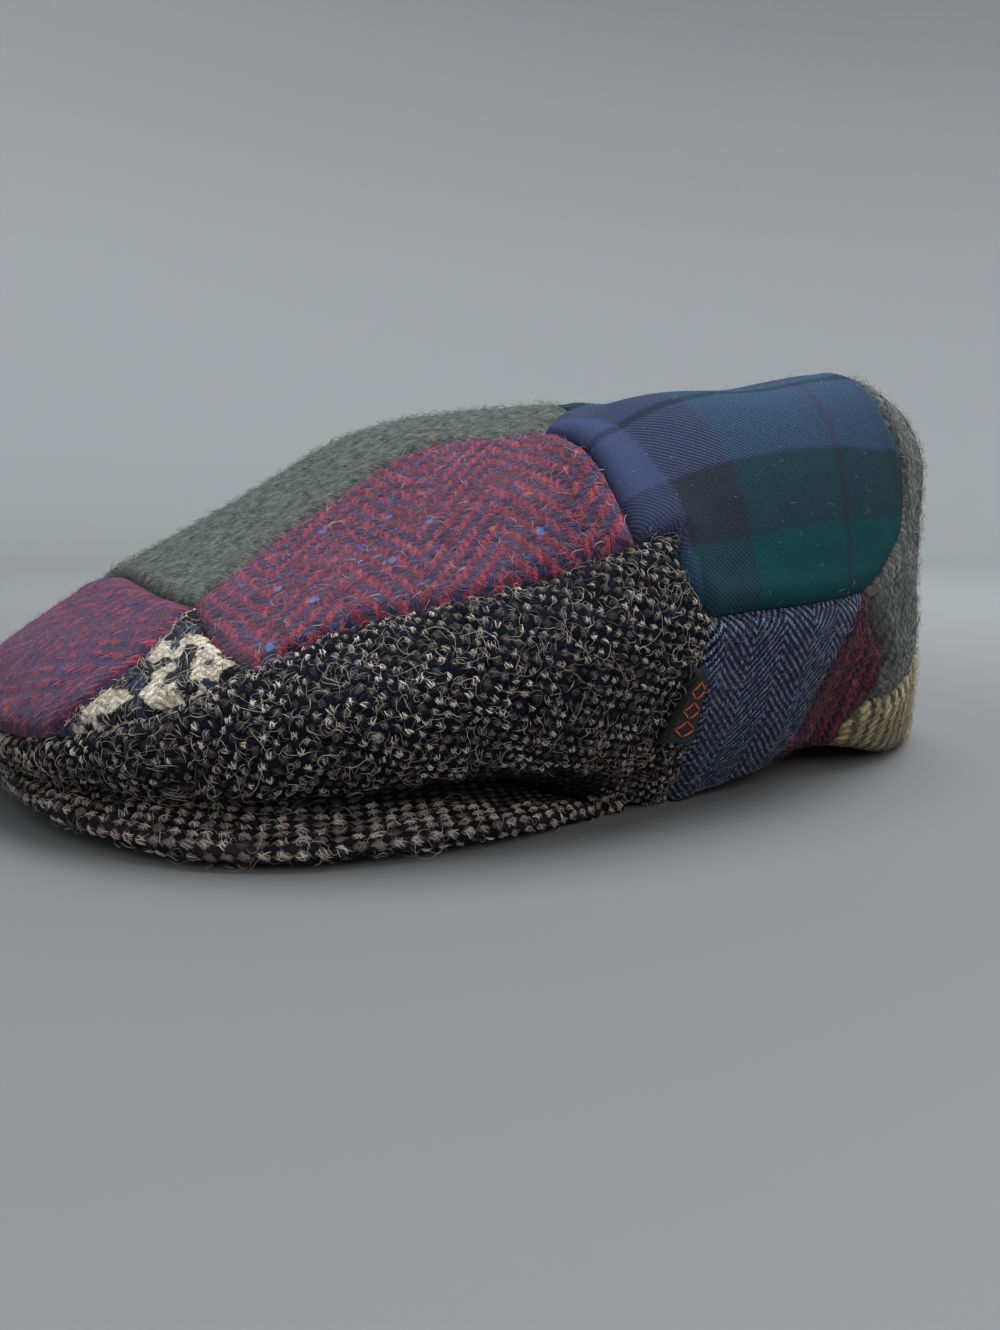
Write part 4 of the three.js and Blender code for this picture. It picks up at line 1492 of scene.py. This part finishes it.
# each one lies on the cloth that it is named for; perMm is how many to a square millimetre
fibreLooks = {
    "left_side_front_tufts": {"look": tuftLook, "shades": basketTufts},
    "left_side_front_curls": {"look": curlLook, "perMm": 0.4, "shades": basketCurls},
    "left_side_front_loops": {"look": loopLook, "perMm": 0.03, "shades": basketCurls},
    "peak_tufts": {"look": peakTuftLook, "shades": litPeakTufts},
    "peak_curls": {"look": curlLook, "perMm": 0.16, "shades": basketCurls},
    "peak_loops": {"look": loopLook, "perMm": 0.02, "shades": basketCurls},
    "right_side_rear_tufts": {"look": tuftLook | {"perTuft": 2}, "shades": basketTufts},
    "right_side_rear_curls": {"look": curlLook, "perMm": 0.12, "shades": basketCurls},
    "left_top_nap": {"look": thickNapLook, "perMm": 0.7, "shades": roseWool},
    "front_panel_nap": {
        "look": napLook | {"length": (0.7, 2.2), "thick": (0.02, 0.04)},
        "perMm": 0.13,
        "shades": maroonWool,
    },
    "top_front_nap": {
        "look": longNapLook | {"length": (1.4, 4.0), "thick": (0.024, 0.05)},
        "perMm": 0.24,
        "shades": greenWool,
    },
    "left_gusset_nap": {"look": napLook | {"thick": (0.03, 0.06)}, "perMm": 0.9, "shades": creamWool},
    "left_side_rear_nap": {"look": napLook, "perMm": 0.35, "shades": blueWool},
    "left_back_gusset_nap": {"look": napLook, "perMm": 0.5, "shades": wineWool},
    "left_back_nap": {"look": longNapLook, "perMm": 0.22, "shades": greyWool},
    "left_back_lower_nap": {"look": longNapLook, "perMm": 0.3, "shades": mustardWool},
    "top_rear_nap": {"look": lintLook, "perMm": 0.03, "shades": tartanLint},
    "right_top_nap": {"look": napLook, "perMm": 0.2, "shades": greyWool},
    "right_side_front_nap": {"look": napLook, "perMm": 0.1, "shades": blueWool},
    "right_back_nap": {
        "look": napLook,
        "perMm": 0.12,
        "shades": {"roseFibre": 0.5, "lilacFibre": 0.3, "slateFibre": 0.2},
    },
    "right_gusset_nap": {"look": napLook, "perMm": 0.3, "shades": mustardWool},
    "right_back_gusset_nap": {
        "look": napLook,
        "perMm": 0.25,
        "shades": {"mossFibre": 0.6, "sageFibre": 0.4},
    },
    "right_back_lower_nap": {
        "look": napLook,
        "perMm": 0.15,
        "shades": {"roseFibre": 0.6, "lilacFibre": 0.4},
    },
}
firstSeed = 100


def tuftThreads(cloth, own, rng):
    # the threads of a tuft lie side by side, and start half their length before its middle
    look, odds = own["look"], np.cumsum(list(own["shades"].values()))
    places = tuftPlaces(cloth)
    places = places[onOpenCloth(cloth, places)]
    places = places[rng.uniform(size=len(places)) > look["missing"]]
    shadeOf = np.searchsorted(odds, rng.uniform(0, odds[-1] - 1e-9, len(places)))
    lean = rng.normal(0, look["lean"], len(places))
    places, shadeOf, lean = [np.repeat(values, look["perTuft"], axis=0) for values in (places, shadeOf, lean)]
    headings = math.radians(look["heading"]) + lean + rng.normal(0, look["fan"], len(places))
    back = -sum(look["length"]) / 4
    aside = rng.uniform(-look["bundle"], look["bundle"], len(places))
    right = back * np.cos(headings) - aside * np.sin(headings)
    up = back * np.sin(headings) + aside * np.cos(headings)
    table = readGrid(stepTable(cloth), heldOn(cloth, places))
    places = places + stepBy(table, right, up)
    odd = rng.uniform(size=len(places)) < look["odd"]
    shadeOf = np.where(odd, np.minimum(shadeOf + 1, len(odds) - 1), shadeOf)
    return places, headings, shadeOf


def scatteredThreads(cloth, own, rng):
    odds = np.cumsum(list(own["shades"].values()))
    density = own["perMm"] * 1
    places = scatteredPlaces(cloth, density, rng)
    headings = rng.uniform(0, 2 * math.pi, len(places))
    shadeOf = np.searchsorted(odds, rng.uniform(0, odds[-1] - 1e-9, len(places)))
    return places, headings, shadeOf


def fibrePiece(name, own, seed, tab):
    rng = np.random.default_rng(seed)
    cloth, look = made[name.rpartition("_")[0]], own["look"]
    threads = tuftThreads if "perTuft" in look else scatteredThreads
    places, headings, shadeOf = threads(cloth, own, rng)
    held = heldOn(cloth, places)
    spots = readGrid(cloth["surface"], held)
    clearOfTab = np.array([tab.find(spot)[2] > tabLook["clear"] for spot in spots.tolist()], bool)
    places, headings, shadeOf = places[clearOfTab], headings[clearOfTab], shadeOf[clearOfTab]
    paths = walkedPaths(cloth, places, headings, look, rng)
    thick = rng.uniform(*look["thick"], len(places))
    up = readGrid(cloth["normals"], held[clearOfTab])
    piece = fibreMesh(name, paths, thick, up, own["shades"], shadeOf)


tabLook = {
    "slot": "woven_tab",
    "weave": ribbonWeave,
    "fineness": 8,
    "under": 0.8,        # mm off the side cloth
    "thickness": 1.1,
    "edgeRound": 0.9,
    "puff": 0.25,
    "puffSize": 7,
    "clear": 1.6,        # no fibres start nearer than this
    "threadRadius": 0.26,
    "stitchRise": 0.3,
    "stitchSink": 0.05,
    "stitchSteps": 5,
    "diamonds": [0.24, 0.5, 0.76],   # how far down the tab each one sits
    "diamondHalf": (0.115, 0.34),    # down and across
}


def tabPiece(look):
    fineness = look["fineness"]
    plan = fillBetween([sideOf(name, fineness) for name in ("tabTop", "tabBottom", "tabFront", "tabBack")])
    points, normals = planPoints(plan), planNormals(plan)
    near = edgeDistance(points, False)
    rounding = np.clip(1 - near / look["edgeRound"], 0, 1) ** 2 * look["thickness"] * 0.6
    puff = look["puff"] * latticeNoise(points, look["puffSize"], noiseSeeds["tab"])
    outer = points + (look["under"] + look["thickness"] + puff - rounding)[..., None] * normals
    inner = points + look["under"] * normals
    run = np.linalg.norm(np.diff(points, axis=1, prepend=points[:, :1]), axis=-1).cumsum(1)
    fall = np.linalg.norm(np.diff(points, axis=0, prepend=points[:1]), axis=-1).cumsum(0)
    ribbon = wallMesh("side_tab_ribbon", outer, inner, np.stack([run, -fall], -1), fineness)
    dressNode(ribbon, "side_tab", look)
    stitchDiamonds(look, outer, normals)
    tree = KDTree(points.shape[0] * points.shape[1])
    for k, spot in enumerate(points.reshape(-1, 3).tolist()):
        tree.insert(spot, k)
    tree.balance()
    return tree


def stitchDiamonds(look, outer, normals):
    # a row of small diamonds, one stitch to a side
    rows, columns = outer.shape[:2]
    tall, wide = look["diamondHalf"]
    share = np.linspace(0.04, 0.96, look["stitchSteps"])[:, None]
    lift = np.sin(np.pi * np.linspace(0.05, 0.95, look["stitchSteps"]))
    rise = (lift * look["stitchRise"] - look["stitchSink"])[:, None]
    paths = []
    for middle in look["diamonds"]:
        ends = [(middle - tall, 0.5), (middle, 0.5 + wide), (middle + tall, 0.5), (middle, 0.5 - wide)]
        for start, end in zip(ends, ends[1:] + ends[:1]):
            place = (np.array(start) * (1 - share) + np.array(end) * share) * (rows - 1, columns - 1)
            paths.append(readGrid(outer, place) + rise * readGrid(normals, place))
    up = np.repeat(normals[rows // 2, columns // 2][None], len(paths), axis=0)
    thick = np.full(len(paths), look["threadRadius"])
    oneShade = np.zeros(len(paths), int)
    stitches = fibreMesh("side_tab_stitches", np.array(paths), thick, up, ["tabThread"], oneShade)


tabTree = tabPiece(tabLook)
print("side tab sewn in")
for seed, (name, own) in enumerate(fibreLooks.items()):
    fibrePiece(name, own, firstSeed + seed, tabTree)
print("fibre pieces laid on:", len(fibreLooks))
